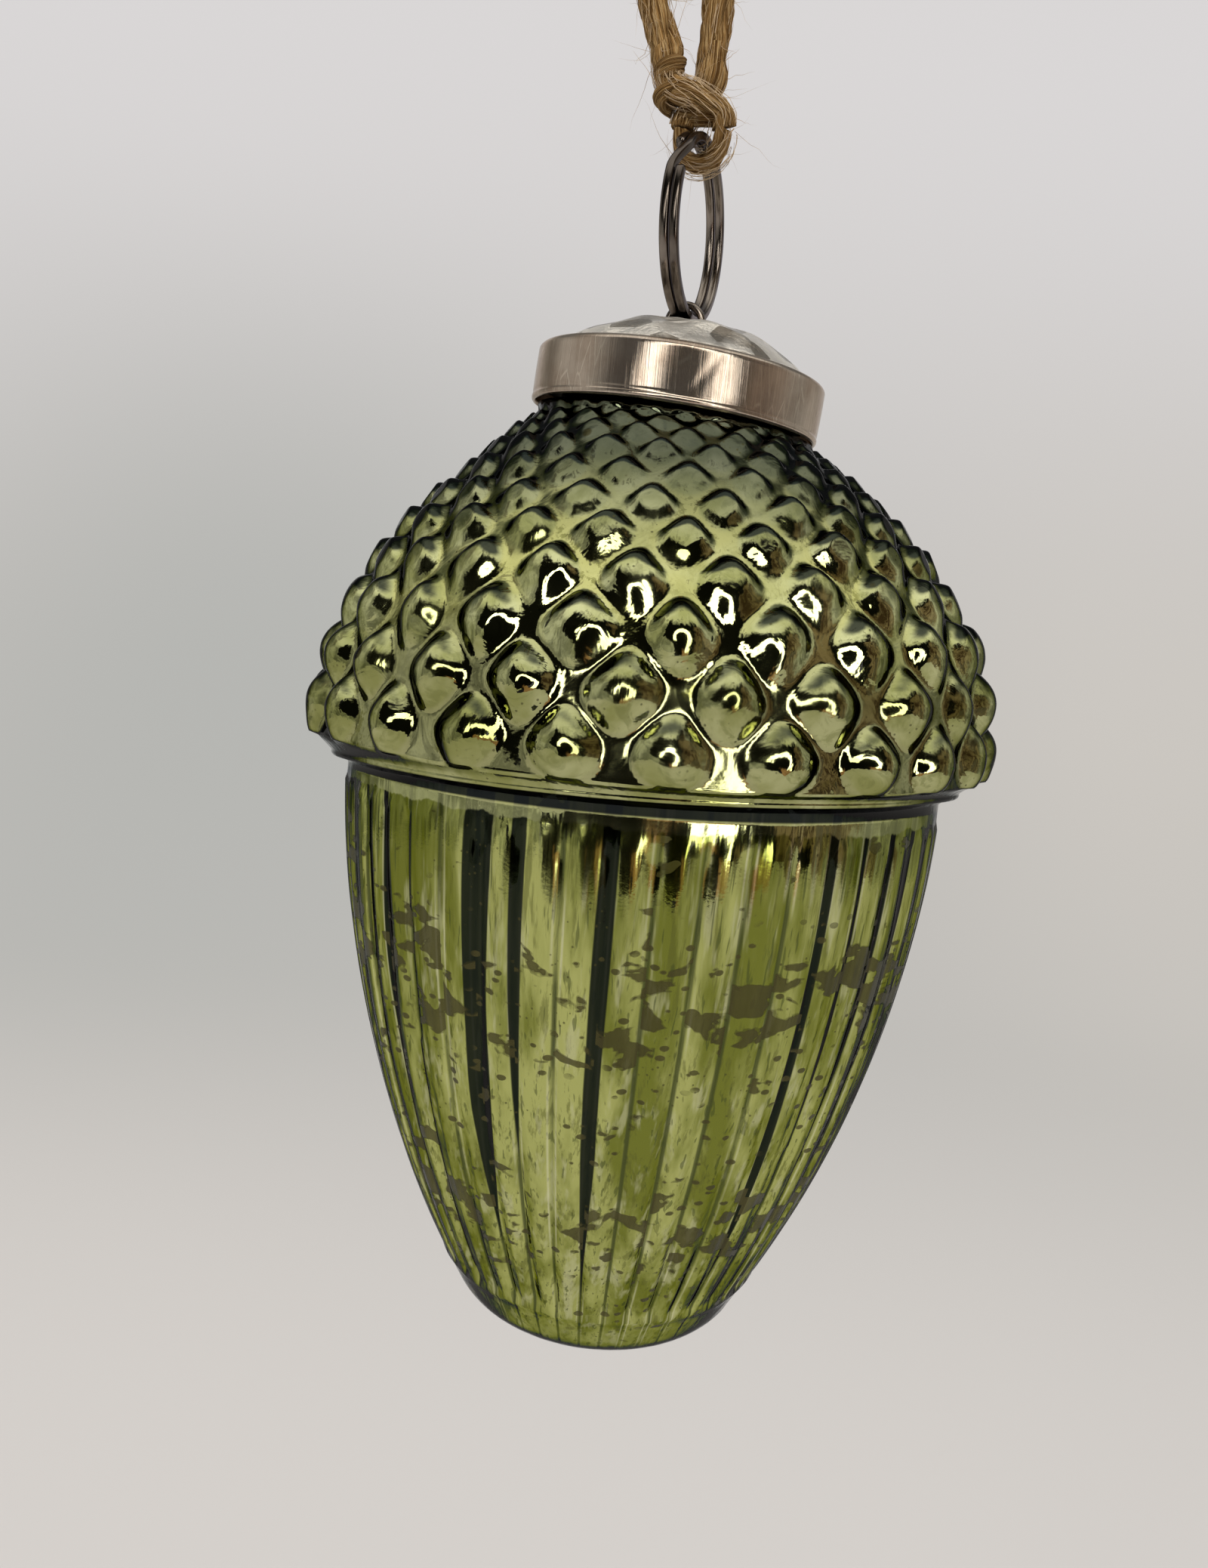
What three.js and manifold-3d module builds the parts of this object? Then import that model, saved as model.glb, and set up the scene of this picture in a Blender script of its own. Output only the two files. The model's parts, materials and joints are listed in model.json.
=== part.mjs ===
// An acorn of silvered glass that hangs from jute twine, in millimetres, with +Z up and the viewer at -Y.
// The origin is the inside of the twine loop's crown, where a hook or a twig carries the ornament.
import * as THREE from "three";
import { mergeVertices } from "three/addons/utils/BufferGeometryUtils.js";
import Module from "manifold-3d";

const wasm = await Module();
wasm.setup();

// Clearances
const SEAT_GAP = 0.3; // between two pieces that touch
const SWING_GAP = 0.25; // round a wire that turns inside a loop

// Jute twine: its free loop from the knot's right side, over the crown, to the knot's left side
const TWINE_DIAMETER = 3.3;
const TWINE_SIDES = 8;
const LOOP_STEPS = 36;
const LOOP_ROUTE = [
  [0.35, 0.3, -63.7],
  [0.35, 0.2, -57.5],
  [1.1, 0, -48.5],
  [2.3, 0, -37.5],
  [3.6, 0, -25.5],
  [4.7, 0, -14.5],
  [4.7, 0, -7],
  [3.2, 0, -1.5],
  [0, 0, 1.65],
  [-3.9, 0, -0.9],
  [-7.6, 0, -7],
  [-10.7, 0, -16],
  [-12.2, 0, -26.5],
  [-11.5, 0, -37.5],
  [-9.5, 0, -48],
  [-6.5, 0, -57.6],
  [-5.1, 0.1, -61.5],
  [-4.6, 0.1, -62.8],
  [-4.5, 0.1, -63.7],
];

// The knot, whose strands are squeezed, and the bight that holds the ring, which is pressed flat
const KNOT_STRAND = 2.9;
const KNOT_STEPS = 14;
const KNOT_HEIGHT = 6.2;
const BIGHT_THICKNESS = 1.6;
const BIGHT_WIDTH = 3.8;
const BIGHT_SIDES = 10;
const BIGHT_LEG = 1;

// Split ring: flat wire wound twice, one turn beside the other
const RING_OUTSIDE = 19;
const RING_WIRE_DEPTH = 1;
const RING_WIRE_WIDTH = 0.95;
const RING_WIRE_CORNER = 0.28;
const RING_TURN_GAP = 0.1;
const RING_JOG_DEGREES = 26;
const RING_JOG_FROM_TOP = -40;
const RING_YAW_DEGREES = 16.5;
const RING_STEPS = 84;

// Wire eyelet: a loop round the ring whose two legs splay out under the dome
const EYELET_WIRE = 0.8;
const EYELET_INSIDE = 3;
const EYELET_HEADROOM = 0.5;
const EYELET_BEND = 1.2;
const EYELET_LEG_REACH = 8;
const EYELET_LEG_FALL = 1.4;
const EYELET_SIDES = 8;

// Pressed dome and the band round it, both fitted by hand with a lean to the right
const CAP_LEAN_DEGREES = 4.3;
const BAND_OUTSIDE = 31.4;
const BAND_HEIGHT = 6;
const BAND_SHEET = 0.5;
const BAND_SHOULDER = 1.9;
const DOME_STEP = 0.4;
const DOME_RISE = 4.04;
const DOME_SHEET = 0.4;
const DOME_FLANGE = 1.1;
const DOME_FLANGE_DROP = 0.9;
const DOME_ROUNDNESS = 2.4;
const DOME_BELOW_RING = 0.35;
const CEMENT_HEIGHT = 2.6;
const METAL_SEGMENTS = 48;

// Glass: neck, scaly cap, smooth lip, fluted nut and round foot
const GLASS_WALL = 1.5;
const NECK_OUTSIDE = 25.2;
const NECK_HEIGHT = 5.5;
const LIP_BELOW_BAND_TOP = 2;
const SHOULDER_HEIGHT = 36.2;
const SHOULDER_TOP_RADIUS = 15.6;
const CAP_RADIUS = 38;
const RIM_HEIGHT = 2.3;
const RIM_RADIUS = 36.4;
const NUT_HEIGHT = 65.5;
const NUT_RADIUS = 33;
const FOOT_RADIUS = 16.8;
const FOOT_HEIGHT = 5.1;
const SCALES_AROUND = 24;
const SCALE_ROWS = 9;
const SCALE_PHASE_DEGREES = 3.75;
const SCALE_FIRST_STEP = 5.2;
const SCALE_STEP_LOSS = 0.011;
const SCALE_FIRST_ARC = 4.2;
const SCALE_LIFT = 2;
const SCALE_LIFT_AT_TOP = 0.7;
const FLUTES = 48;
const FLUTE_DEPTH = 0.5;
const FLUTE_FADE = 4;
const GLASS_SEGMENTS = 96;
const BORE_SEGMENTS = 36;

const radians = THREE.MathUtils.degToRad;
const lean = radians(CAP_LEAN_DEGREES);
const yaw = radians(RING_YAW_DEGREES);

// Heights, from the loop down to the foot
const knotTop = LOOP_ROUTE[0][2] - SEAT_GAP;
const knotFoot = knotTop - KNOT_HEIGHT;
const bightTop = knotFoot - SEAT_GAP;
const ringTopPivot = bightTop - BIGHT_LEG;
const ringMean = (RING_OUTSIDE - RING_WIRE_DEPTH) / 2;
const ringCentre = ringTopPivot - ringMean;
const ringBottomPivot = ringCentre - ringMean;
const domeApex = ringBottomPivot - RING_WIRE_DEPTH / 2 - DOME_BELOW_RING;
const bandMiddle = domeApex - (BAND_HEIGHT / 2 + DOME_STEP + DOME_RISE) * Math.cos(lean);
const glassLip = bandMiddle + BAND_HEIGHT / 2 - LIP_BELOW_BAND_TOP;
const shoulderTop = glassLip - NECK_HEIGHT;
const groove = shoulderTop - SHOULDER_HEIGHT;
const foot = groove - NUT_HEIGHT;

// Finishes, as seen
const silveredGlass = { color: 0x8a9440, roughness: 0.12, metalness: 0.85 };
const nickel = { color: 0xb8a898, roughness: 0.2, metalness: 1 };
const dullTin = { color: 0xa7a39c, roughness: 0.45, metalness: 1 };
const darkSteel = { color: 0x4a4a52, roughness: 0.3, metalness: 1 };
const cement = { color: 0x2c2a26, roughness: 0.9, metalness: 0 };
const jute = { color: 0x7a5a32, roughness: 0.95, metalness: 0 };

const root = new THREE.Group();

function addPiece(name, geometry, finish, parent = root) {
  const mesh = new THREE.Mesh(geometry, new THREE.MeshStandardMaterial(finish));
  mesh.name = name;
  parent.add(mesh);
  return mesh;
}

function toSolid(geometry) {
  const bare = geometry.clone();
  bare.deleteAttribute("normal");
  bare.deleteAttribute("uv");
  const merged = mergeVertices(bare, 1e-4);
  const vertProperties = merged.getAttribute("position").array;
  const triVerts = new Uint32Array(merged.getIndex().array);
  return new wasm.Manifold(new wasm.Mesh({ numProp: 3, vertProperties, triVerts }));
}

function toGeometry(solid) {
  const mesh = solid.getMesh();
  const geometry = new THREE.BufferGeometry();
  geometry.setAttribute("position", new THREE.BufferAttribute(mesh.vertProperties, 3));
  geometry.setIndex(new THREE.BufferAttribute(mesh.triVerts, 1));
  geometry.computeVertexNormals();
  return geometry;
}

// An oval section, or a round one when the second size is left out.
function ovalShape(width, height = width, sides = TWINE_SIDES) {
  const corners = [];
  for (let i = 0; i < sides; i += 1) {
    const turn = ((i + 0.5) / sides) * 2 * Math.PI;
    corners.push(new THREE.Vector2((width / 2) * Math.cos(turn), (height / 2) * Math.sin(turn)));
  }
  return new THREE.Shape(corners);
}

function tube(path, section, steps) {
  return new THREE.ExtrudeGeometry(section, { steps, extrudePath: path, bevelEnabled: false });
}

function routeCurve(points) {
  return new THREE.CatmullRomCurve3(points.map((p) => new THREE.Vector3(...p)), false, "centripetal");
}

// A lathe stands on Y, and this turns it to stand on Z with its seam towards the viewer.
function upright(lathe) {
  return lathe.rotateX(Math.PI / 2);
}

// The twine's free loop
addPiece("twine_loop", tube(routeCurve(LOOP_ROUTE), ovalShape(TWINE_DIAMETER), LOOP_STEPS), jute);

// The knot: the strand from the bight's back climbs to the right, the one from its front crosses to the
// left, and a turn of it wraps the crossing. Points are measured from the knot's foot.
const bightRadius =
  Math.hypot(RING_WIRE_WIDTH + RING_TURN_GAP / 2, RING_WIRE_DEPTH / 2) + SWING_GAP + BIGHT_THICKNESS / 2;
const legX = bightRadius * Math.cos(yaw);
const legY = bightRadius * Math.sin(yaw);
const [rightExit, leftExit] = [LOOP_ROUTE[0], LOOP_ROUTE[LOOP_ROUTE.length - 1]];
const KNOT_STRANDS = [
  [
    [-legX, legY, 0],
    [-legX, legY, 0.9],
    [-0.9, 1, 2],
    [0.2, 0.8, 3.4],
    [rightExit[0], rightExit[1], KNOT_HEIGHT - 1],
    [rightExit[0], rightExit[1], KNOT_HEIGHT],
  ],
  [
    [legX, -legY, 0],
    [legX, -legY, 0.9],
    [0.6, -1.1, 1.7],
    [-1.4, -1.2, 2.4],
    [-3.6, -0.9, 3],
    [leftExit[0], leftExit[1], KNOT_HEIGHT - 1.6],
    [leftExit[0], leftExit[1], KNOT_HEIGHT],
  ],
  [
    [-3.8, -0.6, 3.6],
    [-3, -1.7, 4.2],
    [-1.9, -2, 3.4],
    [-1.7, -1.7, 2],
    [-2.4, -0.5, 1.5],
    [-3.2, 0.4, 2.3],
  ],
];

const knotSolid = KNOT_STRANDS.map((strand) => {
  const path = routeCurve(strand.map(([x, y, z]) => [x, y, knotFoot + z]));
  return toSolid(tube(path, ovalShape(KNOT_STRAND), KNOT_STEPS));
}).reduce((whole, strand) => whole.add(strand));
addPiece("twine_knot", toGeometry(knotSolid), jute);

// What hangs on the ring's wire is built square to the ring and turned with it.
const ringGroup = new THREE.Group();
ringGroup.position.z = ringCentre;
ringGroup.rotation.z = -yaw;
root.add(ringGroup);

// A U in the XZ plane: a half circle about (0, centre) with a straight leg at each end.
function bentLoop(radius, centre, legEnd, over) {
  const path = new THREE.CurvePath();
  const side = over ? 1 : -1;
  const turned = [];
  for (let i = 0; i <= 12; i += 1) {
    const angle = (i / 12) * Math.PI;
    turned.push(new THREE.Vector3(radius * Math.cos(angle), 0, centre + side * radius * Math.sin(angle)));
  }
  path.add(new THREE.LineCurve3(new THREE.Vector3(radius, 0, legEnd), turned[0]));
  path.add(new THREE.CatmullRomCurve3(turned));
  path.add(new THREE.LineCurve3(turned[12], new THREE.Vector3(-radius, 0, legEnd)));
  return path;
}

// The bight: the twine goes down in front of the wire, under it and up behind.
const bightPath = bentLoop(bightRadius, ringMean, bightTop - ringCentre, false);
const bightSection = ovalShape(BIGHT_WIDTH, BIGHT_THICKNESS, BIGHT_SIDES);
addPiece("twine_hitch", tube(bightPath, bightSection, 22), jute, ringGroup);

// The split ring's wire runs one turn, steps aside over the jog, and runs the next.
class SplitRingCurve extends THREE.Curve {
  getPoint(share, target = new THREE.Vector3()) {
    const jog = radians(RING_JOG_DEGREES);
    const turned = share * (4 * Math.PI - jog);
    const stepped = THREE.MathUtils.smoothstep(turned, 2 * Math.PI - jog, 2 * Math.PI);
    const aside = (stepped - 0.5) * (RING_WIRE_WIDTH + RING_TURN_GAP);
    const angle = turned + radians(RING_JOG_FROM_TOP);
    return target.set(aside, ringMean * Math.sin(angle), ringMean * Math.cos(angle));
  }
}

// A rectangle with its corners cut off.
function wireShape(width, depth, corner) {
  const [x, y] = [width / 2, depth / 2];
  const corners = [
    [x - corner, -y],
    [x, corner - y],
    [x, y - corner],
    [x - corner, y],
    [corner - x, y],
    [-x, y - corner],
    [-x, corner - y],
    [corner - x, -y],
  ];
  return new THREE.Shape(corners.map(([px, py]) => new THREE.Vector2(px, py)));
}

const ringSection = wireShape(RING_WIRE_WIDTH, RING_WIRE_DEPTH, RING_WIRE_CORNER);
addPiece("split_ring", tube(new SplitRingCurve(), ringSection, RING_STEPS), darkSteel, ringGroup);

// The eyelet's loop goes over the ring's lower wire, through the dome's hole, and splays out below it.
const eyeletRadius = (EYELET_INSIDE + EYELET_WIRE) / 2;
const eyeletCentre = RING_WIRE_DEPTH / 2 + EYELET_HEADROOM - EYELET_INSIDE / 2 - ringMean;
const sheetUnder = domeApex - DOME_SHEET - ringCentre;
const legTop = sheetUnder - SEAT_GAP - EYELET_WIRE / 2 - EYELET_LEG_REACH * Math.sin(lean) * 0.5;

function eyeletPath() {
  const path = new THREE.CurvePath();
  const over = bentLoop(eyeletRadius, eyeletCentre, legTop + EYELET_BEND, true);
  const foldedLeg = (side) => {
    const turned = [];
    for (let i = 0; i <= 4; i += 1) {
      const angle = (i / 4) * (Math.PI / 2);
      const x = eyeletRadius + EYELET_BEND * (1 - Math.cos(angle));
      turned.push(new THREE.Vector3(side * x, 0, legTop + EYELET_BEND * (1 - Math.sin(angle))));
    }
    turned.push(new THREE.Vector3(side * EYELET_LEG_REACH, 0, legTop - EYELET_LEG_FALL));
    return turned;
  };
  path.add(new THREE.CatmullRomCurve3(foldedLeg(1).reverse(), false, "centripetal"));
  over.curves.forEach((curve) => path.add(curve));
  path.add(new THREE.CatmullRomCurve3(foldedLeg(-1), false, "centripetal"));
  return path;
}

addPiece("wire_eyelet", tube(eyeletPath(), ovalShape(EYELET_WIRE, EYELET_WIRE, EYELET_SIDES), 44), darkSteel, ringGroup);

// The cap's metal leans as one, about the middle of the band.
const capGroup = new THREE.Group();
capGroup.position.z = bandMiddle;
capGroup.rotation.y = lean;
root.add(capGroup);

function closedLathe(corners, segments = METAL_SEGMENTS) {
  const profile = corners.map(([radius, height]) => new THREE.Vector2(radius, height));
  profile.push(profile[0].clone());
  return upright(new THREE.LatheGeometry(profile, segments));
}

const bandRadius = BAND_OUTSIDE / 2;
const bandInner = bandRadius - BAND_SHEET;
const halfBand = BAND_HEIGHT / 2;
const bandEdge = BAND_SHEET / 2;
const bandMouth = bandRadius - BAND_SHOULDER;
addPiece(
  "cap_band",
  closedLathe([
    [bandInner, -halfBand + bandEdge / 2],
    [bandInner + bandEdge, -halfBand],
    [bandRadius, -halfBand + bandEdge],
    [bandRadius, halfBand - 2 * BAND_SHEET],
    [bandRadius - bandEdge, halfBand - bandEdge],
    [bandInner - bandEdge, halfBand],
    [bandMouth, halfBand + bandEdge],
    [bandMouth, halfBand + bandEdge - BAND_SHEET],
    [bandInner - BAND_SHEET, halfBand - BAND_SHEET],
    [bandInner, halfBand - 2.5 * BAND_SHEET],
  ]),
  nickel,
  capGroup,
);

// The dome's sheet stands in the band's mouth, on a flange that the band's shoulder holds down.
const domeRadius = bandMouth - SEAT_GAP;
const flangeTop = halfBand - DOME_FLANGE_DROP;
const flangeFoot = flangeTop - DOME_SHEET;
const DOME_SHARES = [0, 0.2, 0.38, 0.54, 0.68, 0.8, 0.9, 0.97];

const domeBase = halfBand + DOME_STEP;

function domeSurface(radius, rise) {
  return DOME_SHARES.map((share) => [share * radius, domeBase + rise * (1 - share ** DOME_ROUNDNESS)]);
}

const domeOuter = domeSurface(domeRadius, DOME_RISE);
const domeInner = domeSurface(domeRadius - DOME_SHEET, DOME_RISE - DOME_SHEET);
const domeProfile = [
  ...domeInner,
  [domeRadius - DOME_SHEET, domeBase - DOME_SHEET],
  [domeRadius - DOME_SHEET, flangeFoot],
  [domeRadius + DOME_FLANGE, flangeFoot],
  [domeRadius + DOME_FLANGE, flangeTop],
  [domeRadius, flangeTop],
  [domeRadius, domeBase],
  ...domeOuter.reverse(),
].map(([radius, height]) => new THREE.Vector2(radius, height));
const domeSolid = toSolid(upright(new THREE.LatheGeometry(domeProfile, METAL_SEGMENTS)));

// The hole is upright, so that the glass hangs plumb under the eyelet.
const holeRadius = eyeletRadius + EYELET_WIRE / 2 + SEAT_GAP;
const hole = new THREE.CylinderGeometry(holeRadius, holeRadius, 4 * DOME_RISE, 24);
hole.rotateX(Math.PI / 2).rotateY(-lean);
addPiece("cap_dome", toGeometry(domeSolid.subtract(toSolid(hole))), dullTin, capGroup);

// Cement fills the band round the glass neck, below the dome's flange.
const neckRadius = NECK_OUTSIDE / 2;
const cementTop = flangeFoot - SEAT_GAP;
const cementInner = neckRadius + SEAT_GAP + CEMENT_HEIGHT * Math.sin(lean);
const cementFoot = cementTop - CEMENT_HEIGHT;
addPiece(
  "cap_cement",
  closedLathe([
    [cementInner, cementFoot],
    [bandInner - SEAT_GAP, cementFoot],
    [bandInner - SEAT_GAP, cementTop],
    [cementInner, cementTop],
  ]),
  cement,
  capGroup,
);

// Glass. Each station of the outline has a radius and a height, the direction that faces out, the wall's
// depth of relief there, and what is pressed into it: scales at a row, or flutes at a share of their depth.
function station(radius, height, out = [1, 0], relief = {}) {
  return { radius, height, out, depth: 0, ...relief };
}

function facingOut(curve, share) {
  const tangent = curve.getTangentAt(share);
  return [tangent.y, -tangent.x];
}

const footCurve = new THREE.CubicBezierCurve(
  new THREE.Vector2(0, foot),
  new THREE.Vector2(0.54 * FOOT_RADIUS, foot),
  new THREE.Vector2(0.89 * FOOT_RADIUS, foot + 0.3 * FOOT_HEIGHT),
  new THREE.Vector2(FOOT_RADIUS, foot + FOOT_HEIGHT),
);
const nutCurve = new THREE.CubicBezierCurve(
  new THREE.Vector2(FOOT_RADIUS, foot + FOOT_HEIGHT),
  new THREE.Vector2(0.88 * NUT_RADIUS, groove - 0.585 * NUT_HEIGHT),
  new THREE.Vector2(NUT_RADIUS, groove - 0.24 * NUT_HEIGHT),
  new THREE.Vector2(NUT_RADIUS, groove - 0.6),
);
const shoulderCurve = new THREE.CubicBezierCurve(
  new THREE.Vector2(CAP_RADIUS, groove + RIM_HEIGHT),
  new THREE.Vector2(CAP_RADIUS, groove + 0.36 * SHOULDER_HEIGHT),
  new THREE.Vector2(0.83 * CAP_RADIUS, groove + 0.735 * SHOULDER_HEIGHT),
  new THREE.Vector2(SHOULDER_TOP_RADIUS, shoulderTop),
);

function liftOfRow(row) {
  const share = THREE.MathUtils.clamp(row / (SCALE_ROWS - 1), 0, 1);
  return THREE.MathUtils.lerp(SCALE_LIFT, SCALE_LIFT_AT_TOP, share);
}

function outlineStations() {
  const list = [];
  for (const share of [0, 0.25, 0.5, 0.7, 0.86]) {
    const at = footCurve.getPointAt(share);
    list.push(station(at.x, at.y, share ? facingOut(footCurve, share) : [0, -1]));
  }
  const fluteFoot = foot + FOOT_HEIGHT + FLUTE_FADE;
  for (const share of [0, 0.05, 0.11, 0.22, 0.34, 0.47, 0.6, 0.73, 0.86, 0.96, 1]) {
    const at = nutCurve.getPointAt(share);
    const flute = THREE.MathUtils.smoothstep(at.y, fluteFoot - 1, fluteFoot + 1);
    list.push(station(at.x, at.y, facingOut(nutCurve, share), { flute }));
  }
  const step = { depth: RIM_RADIUS - NUT_RADIUS };
  list.push(station(RIM_RADIUS - 0.8, groove, [1, 0], step));
  list.push(station(RIM_RADIUS, groove + 0.35 * RIM_HEIGHT, [1, 0], step));
  list.push(station(RIM_RADIUS - 0.1, groove + 0.8 * RIM_HEIGHT, [1, 0], step));
  const length = shoulderCurve.getLength();
  for (let half = -1; half <= 2 * SCALE_ROWS - 1; half += 1) {
    const row = half / 2;
    const arc = SCALE_FIRST_ARC + SCALE_FIRST_STEP * row - SCALE_STEP_LOSS * row ** 3;
    if (arc >= length - 0.5) break;
    const at = shoulderCurve.getPointAt(arc / length);
    list.push(station(at.x, at.y, facingOut(shoulderCurve, arc / length), { row, depth: liftOfRow(row) }));
  }
  list.push(station(SHOULDER_TOP_RADIUS - 0.4, shoulderTop));
  list.push(station(neckRadius + 0.4, shoulderTop + 0.5));
  list.push(station(neckRadius, shoulderTop + 1.3));
  list.push(station(neckRadius, glassLip - 0.3));
  list.push(station(neckRadius - 0.3, glassLip));
  list.push(station(0, glassLip));
  return list;
}

// How far an angle is from the nearest of a ring of equal pitches, as a share of half a pitch.
function offPitch(angle, phase, count) {
  const pitch = (2 * Math.PI) / count;
  const turns = (angle - phase) / pitch;
  return 2 * Math.abs(turns - Math.round(turns));
}

// The rows are staggered, and each scale is a rounded diamond that is highest at its middle.
function scaleLift(row, angle) {
  let lift = 0;
  for (const k of [Math.floor(row), Math.ceil(row)]) {
    if (k < 0 || k >= SCALE_ROWS) continue;
    const phase = radians(SCALE_PHASE_DEGREES) + ((k % 2) * Math.PI) / SCALES_AROUND;
    const reach = Math.hypot(offPitch(angle, phase, SCALES_AROUND), 1.15 * (row - k));
    lift = Math.max(lift, liftOfRow(k) * (1 - Math.min(1, reach) ** 1.5));
  }
  return lift;
}

function reliefAt({ row, flute, depth }, angle) {
  if (row !== undefined) return scaleLift(row, angle) - depth;
  if (flute) return -flute * FLUTE_DEPTH * offPitch(angle, 0, FLUTES) ** 2;
  return 0;
}

function carvedLathe(stations) {
  const rings = stations.length;
  const profile = stations.map(({ radius, height }) => new THREE.Vector2(radius, height));
  const lathe = new THREE.LatheGeometry(profile, GLASS_SEGMENTS);
  const position = lathe.getAttribute("position");
  const lifts = [];
  for (let i = 0; i <= GLASS_SEGMENTS; i += 1) {
    const angle = ((i % GLASS_SEGMENTS) / GLASS_SEGMENTS) * 2 * Math.PI;
    for (const at of stations) {
      const lift = reliefAt(at, angle);
      const radius = at.radius + lift * at.out[0];
      const height = at.height + lift * at.out[1];
      position.setXYZ(lifts.length, radius * Math.sin(angle), height, radius * Math.cos(angle));
      lifts.push(lift + at.depth);
    }
  }
  lathe.setIndex(valleyFaces(lifts, rings));
  return upright(lathe);
}

// Each four-sided face is split along its lower diagonal, so that the edges run along the valleys.
function valleyFaces(lifts, rings) {
  const faces = [];
  for (let i = 0; i < GLASS_SEGMENTS; i += 1) {
    for (let j = 0; j < rings - 1; j += 1) {
      const a = i * rings + j;
      const [b, c, d] = [a + rings, a + rings + 1, a + 1];
      if (lifts[a] + lifts[c] < lifts[b] + lifts[d]) faces.push(a, b, c, a, c, d);
      else faces.push(a, b, d, c, d, b);
    }
  }
  return faces;
}

// The inside follows the outside a wall's thickness away, smooth, and opens through the neck.
function boreGeometry(stations) {
  const skin = stations.filter((at, j) => j % 2 === 0 && at.height < shoulderTop - 2);
  const profile = skin.map(({ radius, height, out, depth }) => {
    const inset = GLASS_WALL + depth;
    return new THREE.Vector2(Math.max(0, radius - inset * out[0]), height - inset * out[1]);
  });
  const boreRadius = neckRadius - GLASS_WALL;
  profile.push(new THREE.Vector2(boreRadius, shoulderTop - 0.5));
  profile.push(new THREE.Vector2(boreRadius, glassLip + 1));
  profile.push(new THREE.Vector2(0, glassLip + 1));
  return upright(new THREE.LatheGeometry(profile, BORE_SEGMENTS));
}

const stations = outlineStations();
const glassSolid = toSolid(carvedLathe(stations)).subtract(toSolid(boreGeometry(stations)));
addPiece("glass_shell", toGeometry(glassSolid), silveredGlass);

export default root;
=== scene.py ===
"""Looks for an acorn of silvered green glass on jute twine, in metres, +Z up, viewer at -Y."""

import json
import math

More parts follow.
